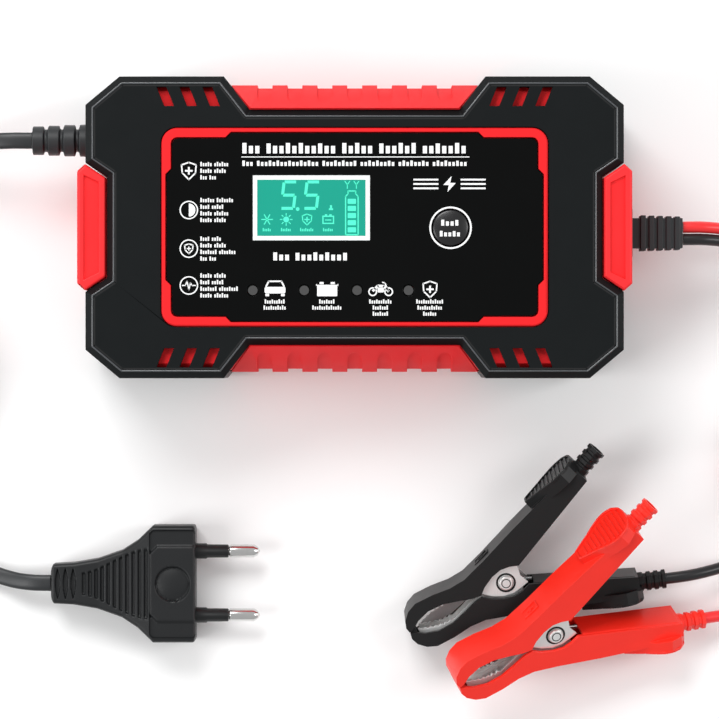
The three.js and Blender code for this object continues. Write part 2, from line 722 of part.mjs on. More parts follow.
// The thumb pad: a drop-shaped plate across the handle's back, wider than the handle.
function thumbPad() {
  const shape = new THREE.Shape();
  const at = (points) => points.map(([u, w]) => new THREE.Vector2(u, w));
  shape.moveTo(0, 2.4);
  shape.splineThru(at([[6, 5.2], [12, THUMB_HALF_WIDTH], [17, 7.4], [19.6, 3], [19.6, -3]]));
  shape.splineThru(at([[17, -7.4], [12, -THUMB_HALF_WIDTH], [6, -5.2], [0, -2.4]]));
  const flat = new THREE.Matrix4().makeBasis(
    new THREE.Vector3(1, 0, 0), new THREE.Vector3(0, 0, 1), new THREE.Vector3(0, -1, 0));
  const geometry = extruded(shape, -1.3, 2.4, 0, 1).applyMatrix4(flat);
  return solid(geometry.rotateZ(THREE.MathUtils.degToRad(17)).translate(17.4, 17.9, 0));
}

function bootHalf() {
  const inner = BOOT_HALF_WIDTH - BOOT_WALL;
  const halfWidth = BOOT_HALF_WIDTH;
  return prism(bootOutline(), -halfWidth, halfWidth, 0, 1)
    .add(thumbPad())
    .add(stub())
    .subtract(prism(bootChannel(), -inner, inner))
    .subtract(stubBore());
}

// A jaw's steel, bent as a channel: toothed along its mouth, with an ear round the rivet.
function jaw(halfWidth, ear) {
  const shape = new THREE.Shape();
  const at = (points) => points.map(([u, v]) => new THREE.Vector2(u, v));
  shape.moveTo(-31.2, 0.4);
  for (let tooth = 0; tooth < 7; tooth += 1) {
    const u = -30.6 + tooth * 1.6;
    const mouth = 2.9 * Math.sin(Math.PI * (u + 32.6) / 21);
    shape.lineTo(u, Math.max(mouth - 0.35, 0.4));
    shape.lineTo(u + 0.8, mouth + 0.35);
  }
  shape.splineThru(at([[-15, 1.5], [-12, 0.5], [-8.2, 0.3]]));
  if (ear === 'wide') {
    shape.splineThru(at([[-5, -2.4], [-0.8, -4], [3, -3.7], [6.2, -3]]));
    shape.lineTo(5, 0);
    shape.lineTo(5.6, 2.7);
  } else {
    shape.splineThru(at([[-4, -1.4], [-1.5, -3.4], [1.5, -3.4], [3.6, -1.2], [4, 2]]));
  }
  shape.lineTo(3.4, 8.2);
  shape.splineThru(at([[-7.8, 5.7], [-14.2, 4.4], [-21, 5.1], [-27, 4.8], [-31.2, 2.6]]));
  const outer = prism(shape, -halfWidth, halfWidth, 0, 1);
  const hollow = [
    [-32, -6], [-32, 1.4], [-30.2, 2.5], [-26.6, 3.9], [-21, 4.2], [-14.2, 3.5], [-7.8, 4.8],
    [3.6, 7.2], [8, 7.2], [8, -6],
  ];
  const inside = halfWidth - JAW_STEEL;
  const pinHole = rod(1.6, -9, 9, 0, 0, 12);
  return outer.subtract(prism(hollow, -inside, inside)).subtract(pinHole);
}

function rivet() {
  return turned([
    [0, -5.5], [2.1, -5.5], [2.4, -4.9], [2.4, -4.7], [1.3, -4.7], [1.3, 4.7], [2.4, 4.7],
    [2.4, 4.9], [2.1, 5.5], [0, 5.5],
  ], 0, 0, 12);
}

function torsionSpring() {
  const coil = ring(1.7, 3.3, -1.9, 1.9, 0, 0, 12);
  const leg = (angle) => {
    const bar = new THREE.BoxGeometry(16, 1.2, 1.2).translate(10.5, 0, 0);
    return solid(bar.rotateZ(THREE.MathUtils.degToRad(angle)));
  };
  return joined(coil, leg(27), leg(-27));
}

function overturned(manifold) {
  return surface(manifold).rotateX(Math.PI);
}

// ---- Assembly ----

const charger = new THREE.Group();

function put(parent, name, shape, material) {
  const geometry = shape.isBufferGeometry ? shape : surface(shape);
  const mesh = new THREE.Mesh(geometry, material);
  mesh.name = name;
  parent.add(mesh);
}

function addCase() {
  const inner = innerCase();
  put(charger, 'top_armour', topArmour(), BLACK_ARMOUR);
  put(charger, 'bottom_armour', bottomArmour(), BLACK_ARMOUR);
  put(charger, 'upper_shell', upperShell(inner), RED_PLASTIC);
  put(charger, 'lower_shell', lowerShell(inner), RED_PLASTIC);
  put(charger, 'left_end_pad', endPad(-1), DEEP_RED);
  put(charger, 'right_end_pad', endPad(1), DEEP_RED);
  put(charger, 'bezel_frame', bezelFrame(), RED_PLASTIC);
  put(charger, 'label_panel', labelPanel(), GLOSS_BLACK);
  corners(SCREW_AT).forEach((place, i) => put(charger, `case_screw_${i + 1}`, caseScrew(place), STEEL));
  corners(FOOT_AT).forEach((place, i) => put(charger, `foot_${i + 1}`, foot(place), RUBBER));
}

function addFrontPanel() {
  put(charger, 'lcd_module', lcdModule(), DISPLAY_GREEN);
  put(charger, 'mode_button', modeButton(), GLOSS_BLACK);
  put(charger, 'tact_switch', tactSwitch(), PART_BLACK);
  const board = block(-50, 50, -24, 24, DISPLAY_BOARD, DISPLAY_BOARD + BOARD_THICKNESS);
  put(charger, 'display_board', board, BOARD_GREEN);
  LIGHT_X.forEach((x, i) => {
    const light = rod(LIGHT_RADIUS, ON_DISPLAY_BOARD, 45.1, x, LIGHT_Y, 12);
    put(charger, `status_light_${i + 1}`, light, LIGHT_GREY);
  });
}

function addElectronics() {
  const board = block(-57, 57, -31, 31, MAIN_BOARD, MAIN_BOARD + BOARD_THICKNESS);
  put(charger, 'main_board', board, BOARD_GREEN);
  put(charger, 'transformer_core', transformerCore(), PART_BLACK);
  put(charger, 'transformer_winding', transformerWinding(), COPPER);
  put(charger, 'bulk_capacitor', capacitor(8, 19.6, -22, 16), PART_BLACK);
  put(charger, 'output_capacitor', capacitor(5, 16, 38, 14), PART_BLACK);
  put(charger, 'primary_heatsink', heatSink(-34, -20, 22), ALUMINIUM);
  put(charger, 'output_heatsink', heatSink(26, -20, 22), ALUMINIUM);
  put(charger, 'switching_transistor', powerPackage(-28, -17.2), PART_BLACK);
  put(charger, 'output_diode', powerPackage(32, -17.2), PART_BLACK);
  put(charger, 'mains_choke', ring(3.6, 8, ON_MAIN_BOARD, 21, -46, 4, 16), COPPER);
  put(charger, 'mains_fuse', mainsFuse(), STEEL);
}

function addMainsCord() {
  put(charger, 'mains_gland', mainsGland(), RUBBER);
  put(charger, 'mains_cord_a', tube(MAINS_ROUTE, CORD_THICKNESS, 10), RUBBER);
  const coil = MAINS_COIL;
  put(charger, 'mains_coil', ring(coil.inner, coil.outer, 0.1, coil.height, coil.x, coil.y, 32), RUBBER);
  put(charger, 'mains_cord_b', tube(PLUG_ROUTE, CORD_THICKNESS, 8), RUBBER);
  put(charger, 'plug_body', plugBody(), RUBBER);
  put(charger, 'plug_pin_a', plugPin(1), STEEL);
  put(charger, 'plug_pin_b', plugPin(-1), STEEL);
}

function addOutputLeads() {
  put(charger, 'output_gland', outputGland(), RUBBER);
  put(charger, 'red_lead_a', lead(sideways(OUTPUT_ROUTE, LEAD_SPACING)), RED_PLASTIC);
  put(charger, 'black_lead_a', lead(sideways(OUTPUT_ROUTE, -LEAD_SPACING)), RUBBER);
  const coil = OUTPUT_COIL;
  put(charger, 'dc_coil', ring(coil.inner, coil.outer, 0.1, coil.height, coil.x, coil.y, 28), RUBBER);
}

function addClampLeads() {
  put(charger, 'red_lead_b', lead(RED_CLAMP_ROUTE), RED_PLASTIC);
  put(charger, 'black_lead_b', lead(BLACK_CLAMP_ROUTE), RUBBER);
}

function addClamp(colour, placing, bootMaterial) {
  const turn = THREE.MathUtils.degToRad;
  const heading = new THREE.Group();
  heading.position.set(...placing.pivot);
  heading.rotation.z = turn(placing.heading);
  const pitch = new THREE.Group();
  pitch.rotation.y = turn(placing.pitch);
  const clamp = new THREE.Group();
  clamp.rotation.x = turn(placing.roll);
  clamp.scale.setScalar(CLAMP_SCALE);
  charger.add(heading);
  heading.add(pitch);
  pitch.add(clamp);
  const boot = bootHalf();
  put(clamp, `${colour}_upper_handle`, boot, bootMaterial);
  put(clamp, `${colour}_lower_handle`, overturned(boot), bootMaterial);
  put(clamp, `${colour}_upper_jaw`, jaw(4.4, 'wide'), STEEL);
  put(clamp, `${colour}_lower_jaw`, overturned(jaw(3.2, 'round')), STEEL);
  put(clamp, `${colour}_rivet`, rivet(), STEEL);
  put(clamp, `${colour}_spring`, torsionSpring(), STEEL);
}

addCase();
addFrontPanel();
addElectronics();
addMainsCord();
addOutputLeads();
addClampLeads();
addClamp('red', RED_CLAMP, RED_PLASTIC);
addClamp('black', BLACK_CLAMP, BLACK_ARMOUR);

export default charger;
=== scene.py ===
import json
import math

import bmesh
import bpy
from mathutils import Matrix, Vector

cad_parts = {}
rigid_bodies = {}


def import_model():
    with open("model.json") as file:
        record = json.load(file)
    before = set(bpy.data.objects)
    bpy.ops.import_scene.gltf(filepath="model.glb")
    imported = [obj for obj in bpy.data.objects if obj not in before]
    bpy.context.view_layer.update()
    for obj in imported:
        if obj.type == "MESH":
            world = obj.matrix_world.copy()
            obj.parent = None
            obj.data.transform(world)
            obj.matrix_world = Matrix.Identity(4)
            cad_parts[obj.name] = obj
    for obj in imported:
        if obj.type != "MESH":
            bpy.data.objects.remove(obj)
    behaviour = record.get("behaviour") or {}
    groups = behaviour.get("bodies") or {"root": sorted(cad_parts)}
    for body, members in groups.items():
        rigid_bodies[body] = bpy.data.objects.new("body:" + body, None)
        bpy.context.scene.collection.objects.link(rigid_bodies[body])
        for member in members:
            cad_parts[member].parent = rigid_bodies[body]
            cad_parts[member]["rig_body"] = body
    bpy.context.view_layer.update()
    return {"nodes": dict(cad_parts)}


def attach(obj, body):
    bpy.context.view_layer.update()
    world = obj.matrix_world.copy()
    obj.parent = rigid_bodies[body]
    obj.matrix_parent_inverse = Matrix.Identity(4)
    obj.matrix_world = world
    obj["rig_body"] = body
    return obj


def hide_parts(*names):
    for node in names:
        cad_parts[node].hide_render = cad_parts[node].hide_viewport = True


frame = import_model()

MM = 0.001
BODY = "charger"
NODES = frame["nodes"]

# Driving sizes, in millimetres.
PANEL_TOP = 45.0
INK = 0.04
LCD_TOP = 44.7
BUTTON_TOP = 45.4
BUTTON_AT = (27.6, -0.2)
CORD_WIDTH = 4.8
CORD_THICKNESS = 2.7
LEAD_DIAMETER = 3.4
LEAD_OFFSET = 1.8
MAINS_COIL = (-145.0, -50.0)
OUTPUT_COIL = (141.0, -68.0)
CAMERA_AT = (1.4, -38.1, 1200.0)
CAMERA_LENS = 201.0


# ---- Small helpers ----

def place(name, mesh, material, body=BODY):
    """A new piece with one material, riding on a body, under the name given."""
    piece = bpy.data.objects.new(name, mesh)
    bpy.context.scene.collection.objects.link(piece)
    mesh.materials.append(material)
    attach(piece, body)
    return piece


def mesh_from(name, points, faces, smooth=True, sharp=40):
    """A mesh from points in millimetres."""
    mesh = bpy.data.meshes.new(name)
    mesh.from_pydata([[c * MM for c in point] for point in points], [], faces)
    mesh.update()
    if smooth:
        mesh.shade_smooth()
        mesh.set_sharp_from_angle(angle=math.radians(sharp))
    return mesh


def skin(node, material, width=0.5, segments=3, angle=32):
    """Stands for a CAD node: the same shape, with its edges rounded as a moulding's are."""
    source = NODES[node]
    bm = bmesh.new()
    bm.from_mesh(source.data)
    bmesh.ops.remove_doubles(bm, verts=bm.verts, dist=2e-6)
    bmesh.ops.dissolve_limit(
        bm, angle_limit=math.radians(1), verts=bm.verts, edges=bm.edges)
    bm.verts.index_update()
    points = [list(v.co) for v in bm.verts]
    faces = [[v.index for v in face.verts] for face in bm.faces]
    bm.free()
    mesh = bpy.data.meshes.new(node + "_skin")
    mesh.from_pydata(points, [], faces)
    mesh.update()
    mesh.shade_smooth()
    mesh.set_sharp_from_angle(angle=math.radians(angle))
    piece = place(node + "_skin", mesh, material, source["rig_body"])
    bevel = piece.modifiers.new("Edge", "BEVEL")
    bevel.width = width * MM
    bevel.segments = segments
    bevel.limit_method = "ANGLE"
    bevel.angle_limit = math.radians(angle)
    bevel.use_clamp_overlap = True
    bevel.harden_normals = True
    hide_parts(node)
    return piece


def smooth_path(points, step):
    """Points a set distance apart along a smooth curve through the given ones."""
    places = [Vector(p) for p in points]
    places = [places[0] * 2 - places[1]] + places + [places[-1] * 2 - places[-2]]
    fine = []
    for i in range(1, len(places) - 2):
        before, start, end, after = places[i - 1:i + 3]
        for k in range(12):
            t = k / 12
            fine.append(0.5 * (
                2 * start + (end - before) * t
                + (2 * before - 5 * start + 4 * end - after) * t * t
                + (3 * start - before - 3 * end + after) * t * t * t))
    fine.append(places[-2])
    path = [fine[0]]
    spare = 0.0
    for start, end in zip(fine, fine[1:]):
        span = (end - start).length
        while span > 0 and spare + span >= step:
            start = start.lerp(end, (step - spare) / span)
            path.append(start)
            span = (end - start).length
            spare = 0.0
        spare += span
    path.append(fine[-1])
    return path


def path_length(path):
    """The length of a route, in its own units."""
    return sum((b - a).length for a, b in zip(path, path[1:]))


def sweep_mesh(name, path, section, twist=None):
    """A closed tube: a section of (sideways, upward) points carried along a path."""
    points = []
    for i, place_at in enumerate(path):
        ahead = path[min(i + 1, len(path) - 1)] - path[max(i - 1, 0)]
        ahead.normalize()
        side = ahead.cross(Vector((0, 0, 1))).normalized()
        up = side.cross(ahead)
        turn = math.radians(twist(i / (len(path) - 1))) if twist else 0.0
        across = side * math.cos(turn) + up * math.sin(turn)
        upward = up * math.cos(turn) - side * math.sin(turn)
        points += [place_at + across * u + upward * v for u, v in section]
    sides = len(section)
    faces = [list(range(sides))[::-1]]
    for i in range(len(path) - 1):
        for k in range(sides):
            a = i * sides + k
            b = i * sides + (k + 1) % sides
            faces.append([a, b, b + sides, a + sides])
    faces.append([(len(path) - 1) * sides + k for k in range(sides)])
    return mesh_from(name, points, [face[::-1] for face in faces])


def round_section(diameter, sides=16):
    return [
        (math.cos(2 * math.pi * k / sides) * diameter / 2,
         math.sin(2 * math.pi * k / sides) * diameter / 2)
        for k in range(sides)]


def flat_section(width, thickness, sides=24):
    """A flat two-core sheath: round at its sides and nearly flat between."""
    section = []
    for k in range(sides):
        turn = 2 * math.pi * k / sides
        c, s = math.cos(turn), math.sin(turn)
        section.append((
            width / 2 * math.copysign(abs(c) ** 0.85, c),
            thickness / 2 * math.copysign(abs(s) ** 0.6, s)))
    return section


# ---- Flat artwork on the panel ----

def box_outline(x0, y0, x1, y1, radius=0.0):
    if radius <= 0:
        return [(x0, y0), (x1, y0), (x1, y1), (x0, y1)]
    outline = []
    corners = ((x1 - radius, y0 + radius, -90), (x1 - radius, y1 - radius, 0),
               (x0 + radius, y1 - radius, 90), (x0 + radius, y0 + radius, 180))
    for x, y, start in corners:
        for k in range(5):
            turn = math.radians(start + 22.5 * k)
            outline.append((x + radius * math.cos(turn), y + radius * math.sin(turn)))
    return outline


def disc(x, y, radius, count=20):
    return [
        (x + radius * math.cos(2 * math.pi * k / count),
         y + radius * math.sin(2 * math.pi * k / count))
        for k in range(count)]


def stroke(points, width, closed=False):
    """Outlines of the short bars that draw a line of that width."""
    ends = list(zip(points, points[1:] + points[:1])) if closed else list(zip(points, points[1:]))
    bars = []
    for (ax, ay), (bx, by) in ends:
        length = math.hypot(bx - ax, by - ay)
        if length < 1e-6:
            continue
        ux, uy = (bx - ax) / length, (by - ay) / length
        grow = width * 0.25
        ax, ay, bx, by = ax - ux * grow, ay - uy * grow, bx + ux * grow, by + uy * grow
        nx, ny = -uy * width / 2, ux * width / 2
        bars.append([(ax - nx, ay - ny), (bx - nx, by - ny), (bx + nx, by + ny), (ax + nx, ay + ny)])
    return bars


def ring_band(x, y, radius, width, count=40):
    """Outlines that together draw a ring."""
    outer, inner = radius + width / 2, radius - width / 2
    bars = []
    for k in range(count):
        a, b = 2 * math.pi * k / count, 2 * math.pi * (k + 1) / count
        bars.append([
            (x + inner * math.cos(a), y + inner * math.sin(a)),
            (x + outer * math.cos(a), y + outer * math.sin(a)),
            (x + outer * math.cos(b), y + outer * math.sin(b)),
            (x + inner * math.cos(b), y + inner * math.sin(b))])
    return bars


def frame_band(x0, y0, x1, y1, width):
    """Outlines of a rectangular border, inside the given box."""
    return [
        box_outline(x0, y0, x1, y0 + width), box_outline(x0, y1 - width, x1, y1),
        box_outline(x0, y0 + width, x0 + width, y1 - width),
        box_outline(x1 - width, y0 + width, x1, y1 - width)]


LETTER_HEIGHTS = (1.0, 0.72, 0.72, 0.95, 0.72, 0.72, 1.0, 0.72)


def writing(x0, y0, height, words, letter=0.62):
    """Rows of small blocks in place of words: words is a list of letter counts."""
    blocks = []
    x = x0
    count = 0
    wide = height * letter
    for word in words:
        for _ in range(word):
            tall = height * LETTER_HEIGHTS[count % len(LETTER_HEIGHTS)]
            blocks.append(box_outline(x, y0, x + wide * 0.64, y0 + tall))
            x += wide
            count += 1
        x += wide * 0.75
    return blocks


def writing_between(x0, x1, y0, height, words):
    """The same, with the letter width set so that the row ends at x1."""
    letters = sum(words) + 0.75 * (len(words) - 1)
    return writing(x0, y0, height, words, (x1 - x0) / letters / height)


def artwork(name, outlines, base, material, body=BODY, thick=INK):
    """Thin closed plates that stand on the surface at height base: printed shapes, and also plates of
    painted shade and painted highlight.
    """
    points, faces = [], []
    for outline in outlines:
        first = len(points)
        count = len(outline)
        points += [(x, y, base) for x, y in outline]
        points += [(x, y, base + thick) for x, y in outline]
        faces.append([first + k for k in range(count)][::-1])
        faces.append([first + count + k for k in range(count)])
        for k in range(count):
            n = (k + 1) % count
            faces.append([first + k, first + n, first + count + n, first + count + k])
    return place(name, mesh_from(name, points, faces, smooth=False), material, body)


# ---- Materials ----

def node_material(name):
    """A new material, with its nodes, links and shader."""
    material = bpy.data.materials.new(name)
    material.use_nodes = True
    tree = material.node_tree
    return material, tree.nodes, tree.links, tree.nodes["Principled BSDF"]


def noise_of(nodes, links, coordinates, scale, detail=3.0):
    noise = nodes.new("ShaderNodeTexNoise")
    noise.inputs["Scale"].default_value = scale
    noise.inputs["Detail"].default_value = detail
    links.new(coordinates.outputs["Object"], noise.inputs["Vector"])
    return noise


def mixed_colour(nodes, links, factor, low, high):
    mix = nodes.new("ShaderNodeMix")
    mix.data_type = "RGBA"
    mix.inputs["A"].default_value = (*low, 1)
    mix.inputs["B"].default_value = (*high, 1)
    links.new(factor, mix.inputs["Factor"])
    return mix.outputs["Result"]


def moulded(name, colour, roughness, grain=900.0, depth=0.02, blotch=0.08, coat=0.0, specular=0.5):
    """Moulded plastic or rubber: slight mottling, uneven gloss and a fine grain."""
    material, nodes, links, shader = node_material(name)
    coordinates = nodes.new("ShaderNodeTexCoord")
    mottle = noise_of(nodes, links, coordinates, 55.0, 4.0)
    low = [c * (1 - blotch) for c in colour]
    high = [min(c * (1 + blotch), 1.0) for c in colour]
    links.new(mixed_colour(nodes, links, mottle.outputs["Fac"], low, high), shader.inputs["Base Color"])
    smear = noise_of(nodes, links, coordinates, 130.0, 5.0)
    gloss = nodes.new("ShaderNodeMapRange")
    gloss.inputs["To Min"].default_value = max(roughness - 0.07, 0.02)
    gloss.inputs["To Max"].default_value = roughness + 0.07
    links.new(smear.outputs["Fac"], gloss.inputs["Value"])
    links.new(gloss.outputs["Result"], shader.inputs["Roughness"])
    pores = noise_of(nodes, links, coordinates, grain, 2.0)
    bump = nodes.new("ShaderNodeBump")
    bump.inputs["Strength"].default_value = 0.35
    bump.inputs["Distance"].default_value = depth * MM
    links.new(pores.outputs["Fac"], bump.inputs["Height"])
    links.new(bump.outputs["Normal"], shader.inputs["Normal"])
    shader.inputs["Specular IOR Level"].default_value = specular
    shader.inputs["Coat Weight"].default_value = coat
    shader.inputs["Coat Roughness"].default_value = 0.12
    return material


def plated(name, colour, roughness, brush=(900.0, 60.0, 60.0), metallic=1.0):
    """Plated or drawn metal, with fine marks along one direction."""
    material, nodes, links, shader = node_material(name)
    coordinates = nodes.new("ShaderNodeTexCoord")
    stretch = nodes.new("ShaderNodeMapping")
    stretch.inputs["Scale"].default_value = brush
    links.new(coordinates.outputs["Object"], stretch.inputs["Vector"])
    marks = nodes.new("ShaderNodeTexNoise")
    marks.inputs["Scale"].default_value = 6.0
    marks.inputs["Detail"].default_value = 4.0
    links.new(stretch.outputs["Vector"], marks.inputs["Vector"])
    low = [c * 0.86 for c in colour]
    links.new(mixed_colour(nodes, links, marks.outputs["Fac"], low, colour), shader.inputs["Base Color"])
    gloss = nodes.new("ShaderNodeMapRange")
    gloss.inputs["To Min"].default_value = max(roughness - 0.06, 0.03)
    gloss.inputs["To Max"].default_value = roughness + 0.08
    links.new(marks.outputs["Fac"], gloss.inputs["Value"])
    links.new(gloss.outputs["Result"], shader.inputs["Roughness"])
    bump = nodes.new("ShaderNodeBump")
    bump.inputs["Strength"].default_value = 0.2
    bump.inputs["Distance"].default_value = 0.01 * MM
    links.new(marks.outputs["Fac"], bump.inputs["Height"])
    links.new(bump.outputs["Normal"], shader.inputs["Normal"])
    shader.inputs["Metallic"].default_value = metallic
    return material


def lit_film(name, colour, glow):
    """A backlit layer of the display, its tint a little uneven in soft clouds."""
    material, nodes, links, shader = node_material(name)
    coordinates = nodes.new("ShaderNodeTexCoord")
    cloud = noise_of(nodes, links, coordinates, 40.0, 2.0)
    low = [c * 0.88 for c in colour]
    tint = mixed_colour(nodes, links, cloud.outputs["Fac"], low, colour)
    links.new(tint, shader.inputs["Base Color"])
    links.new(tint, shader.inputs["Emission Color"])
    shader.inputs["Emission Strength"].default_value = glow
    shader.inputs["Roughness"].default_value = 0.25
    return material


ARMOUR = moulded("armour_moulding", (0.0062, 0.0076, 0.0082), 0.42, depth=0.03, specular=0.12)
SHELL_RED = moulded("shell_moulding", (0.80, 0.020, 0.018), 0.38)
GRIP_RED = moulded("grip_moulding", (0.80, 0.016, 0.020), 0.50, specular=0.14)
PAD_RED = moulded("pad_moulding", (0.86, 0.024, 0.028), 0.45, specular=0.25)
# Darker than the pad's own red: painted shade for the recess in each end pad.
PAD_RECESS_SHADE = moulded("pad_recess_shade_moulding", (0.86, 0.006, 0.009), 0.42)
FILM = moulded("label_film", (0.0014, 0.0016, 0.0016), 0.2, depth=0.004, specular=0.12)
INK_WHITE = moulded("white_ink", (0.86, 0.87, 0.87), 0.5, depth=0.004, blotch=0.04)
WINDOW = lit_film("display_teal", (0.001, 0.30, 0.215), 0.16)
SEGMENT = lit_film("display_segments", (0.07, 0.72, 0.50), 0.32)
BUTTON_BLACK = moulded("button_moulding", (0.008, 0.008, 0.009), 0.28, depth=0.01)
LENS = moulded("light_lens", (0.055, 0.055, 0.055), 0.3, depth=0.006)
# A real raised bead, but its colour, far lighter than the armour's, is a painted highlight along the rim.
BEAD_HIGHLIGHT = moulded("rim_bead_highlight_moulding", (0.05, 0.055, 0.06), 0.25, grain=1500.0, depth=0.005, specular=0.8)
# Near-black plates of painted shadow: the line inside the rim and the rings round the clamp rivets.
GROOVE_SHADE = moulded("groove_shadow", (0.003, 0.0035, 0.004), 0.8)
SHEATH = moulded("mains_sheath", (0.016, 0.018, 0.020), 0.40, grain=1500.0)
GLAND = moulded("gland_rubber", (0.014, 0.016, 0.018), 0.5)
PLUG = moulded("plug_moulding", (0.0115, 0.0125, 0.0135), 0.40, specular=0.3)
RED_SHEATH = moulded("red_sheath", (0.88, 0.030, 0.032), 0.3, grain=1500.0)
BLACK_SHEATH = moulded("black_sheath", (0.012, 0.012, 0.013), 0.3, grain=1500.0)
RED_BOOT = moulded("red_boot_moulding", (0.90, 0.022, 0.010), 0.40)
BLACK_BOOT = moulded("black_boot_moulding", (0.0085, 0.0088, 0.0092), 0.42, specular=0.28)
TIE = moulded("tie_strap", (0.02, 0.02, 0.022), 0.6)
FOOT = moulded("foot_rubber", (0.012, 0.012, 0.012), 0.8)
BOARD = moulded("board_laminate", (0.012, 0.09, 0.03), 0.4)
CASING = moulded("part_casing", (0.015, 0.015, 0.016), 0.5)
FERRITE = moulded("ferrite", (0.03, 0.03, 0.033), 0.6, grain=500.0, depth=0.05)
NICKEL = plated("bright_nickel", (0.93, 0.93, 0.92), 0.3, metallic=0.65)
PIN_METAL = plated("pin_plating", (0.78, 0.78, 0.77), 0.2)
SPRING = plated("spring_wire", (0.62, 0.62, 0.62), 0.28)
SCREW = plated("screw_zinc", (0.45, 0.45, 0.46), 0.4)
SINK = plated("heatsink_metal", (0.7, 0.7, 0.72), 0.35)
COPPER = plated("enamelled_copper", (0.6, 0.25, 0.1), 0.35)


# ---- Camera, light and floor ----

def add_camera():
    data = bpy.data.cameras.new("camera")
    data.lens = CAMERA_LENS
    data.sensor_width = 36
    data.clip_start = 0.01
    camera = bpy.data.objects.new("camera", data)
    camera.location = [c * MM for c in CAMERA_AT]
    bpy.context.scene.collection.objects.link(camera)
    bpy.context.scene.camera = camera


def add_light(name, position, target, size, energy):
    data = bpy.data.lights.new(name, "AREA")
    data.shape = "RECTANGLE"
    data.size, data.size_y = size
    data.energy = energy
    light = bpy.data.objects.new(name, data)
    light.location = position
    aim = Vector(target) - Vector(position)
    light.rotation_euler = aim.to_track_quat("-Z", "Y").to_euler()
    bpy.context.scene.collection.objects.link(light)


def add_studio():
    world = bpy.data.worlds.new("studio")
    world.use_nodes = True
    world.node_tree.nodes["Background"].inputs["Color"].default_value = (1, 1, 1, 1)
    world.node_tree.nodes["Background"].inputs["Strength"].default_value = 0.5
    bpy.context.scene.world = world
    bpy.context.scene.view_settings.view_transform = "Standard"
    add_light("softbox_back", (-0.35, 0.75, 0.9), (0, -0.03, 0), (0.7, 0.5), 9)
    add_light("softbox_left", (-0.9, -0.25, 0.75), (0, -0.03, 0), (0.5, 0.7), 6)
    add_light("softbox_right", (0.9, 0.1, 0.7), (0, -0.03, 0), (0.4, 0.7), 4)
    size = 3.0
    mesh = bpy.data.meshes.new("floor")
    mesh.from_pydata(
        [(-size, -size, 0), (size, -size, 0), (size, size, 0), (-size, size, 0)], [], [(0, 1, 2, 3)])
    floor = bpy.data.objects.new("floor", mesh)
    bpy.context.scene.collection.objects.link(floor)
    mesh.materials.append(moulded("floor_paper", (0.93, 0.93, 0.93), 0.8, grain=400.0, blotch=0.01))


# ---- Cords ----

MAINS_ROUTE = [
    (-94.7, 26.1, 22), (-102, 26.1, 21.7), (-110, 25.7, 19.4), (-118, 24.6, 14.6),
    (-126, 22.6, 8.8), (-134, 19.4, 4.2), (-142, 14.8, 2.4), (-151, 8, 2), (-160, -1, 2),
    (-168, -11.5, 2.2), (-174.5, -23, 2.6), (-179.6, -36, 3.0)]
MAINS_TURNS = [
    (171, 37, 3.2), (235, 31.9, 2.8), (1268, 23.9, 2.8), (1340, 23.9, 7.7), (2370, 31.9, 7.7),
    (2430, 36.4, 6.4)]
PLUG_ROUTE = [
    (-137, -87.6, 4.2), (-130, -89.8, 2.8), (-123, -93.4, 2.2), (-116, -97.8, 2),
    (-109, -101.4, 2.4), (-102, -103.6, 4.4), (-96, -104.4, 6.4), (-90.4, -104.5, 6.95)]
OUTPUT_ROUTE = [
    (96.3, -1.1, 22), (103, -1.1, 21.7), (110, -1.8, 18.6), (117, -3.6, 13), (124, -6.6, 7.2),
    (131, -10.6, 3.2), (139, -16, 1.9), (147, -22.4, 1.9), (155, -30.4, 1.9), (162.4, -40, 1.9),
    (168.4, -50.4, 2)]
OUTPUT_TURNS = [
    (13.5, 32.5, 2.2), (-50, 23.5, 1.9), (-350, 23.5, 1.9), (-410, 16.5, 1.9), (-710, 16.5, 1.9),
    (-770, 16.5, 5.4), (-1070, 16.5, 5.4), (-1130, 23.5, 5.4), (-1465, 23.5, 5.4),
    (-1506, 29.6, 5.4), (-1528, 31.4, 1.9)]
RED_ROUTE = [
    (136, -102.2, 1.9), (130, -104.8, 1.9), (124, -108.4, 2.1), (117.4, -111.7, 3.4),
    (111, -113.9, 5.1), (103.64, -115.05, 6.6), (95.77, -116.33, 8.31), (89.31, -117.38, 9.72),
    (81.76, -118.46, 11.43), (73.81, -119.59, 13.22), (67.95, -120.45, 14.56)]
BLACK_ROUTE = [
    (135, -97.5, 1.9), (128, -97.2, 1.9), (121, -97.3, 2.3), (114, -98.5, 4.1),
    (107, -100.5, 6.6), (99.7, -102.1, 8.5), (92.2, -103.13, 8.73), (84.05, -104.11, 8.67),
    (77.5, -104.9, 8.63), (69.6, -105.7, 8.6), (61.5, -106.5, 8.6), (55.4, -107.3, 8.55)]


def wound(centre, turns, offset=0.0, step=10.0):
    """Points along a coil from stations of (angle, radius, height)."""
    points = []
    for (a0, r0, z0), (a1, r1, z1) in zip(turns, turns[1:]):
        count = max(2, round(abs(a1 - a0) / step))
        for k in range(count):
            t = k / count
            ease = t * t * (3 - 2 * t) if abs(a1 - a0) < 120 else t
            turn = math.radians(a0 + (a1 - a0) * t)
            radius = r0 + (r1 - r0) * ease + offset
            points.append((
                centre[0] + radius * math.cos(turn), centre[1] + radius * math.sin(turn),
                z0 + (z1 - z0) * ease))
    turn = math.radians(turns[-1][0])
    radius = turns[-1][1] + offset
    points.append((
        centre[0] + radius * math.cos(turn), centre[1] + radius * math.sin(turn), turns[-1][2]))
    return points


def beside(points, offset):
    """The route moved sideways, to its left, by the offset."""
    moved = []
    for i, point in enumerate(points):
        a, b = points[max(i - 1, 0)], points[min(i + 1, len(points) - 1)]
        length = math.hypot(b[0] - a[0], b[1] - a[1])
        nx, ny = -(b[1] - a[1]) / length, (b[0] - a[0]) / length
        moved.append((point[0] + nx * offset, point[1] + ny * offset, point[2]))
    return moved


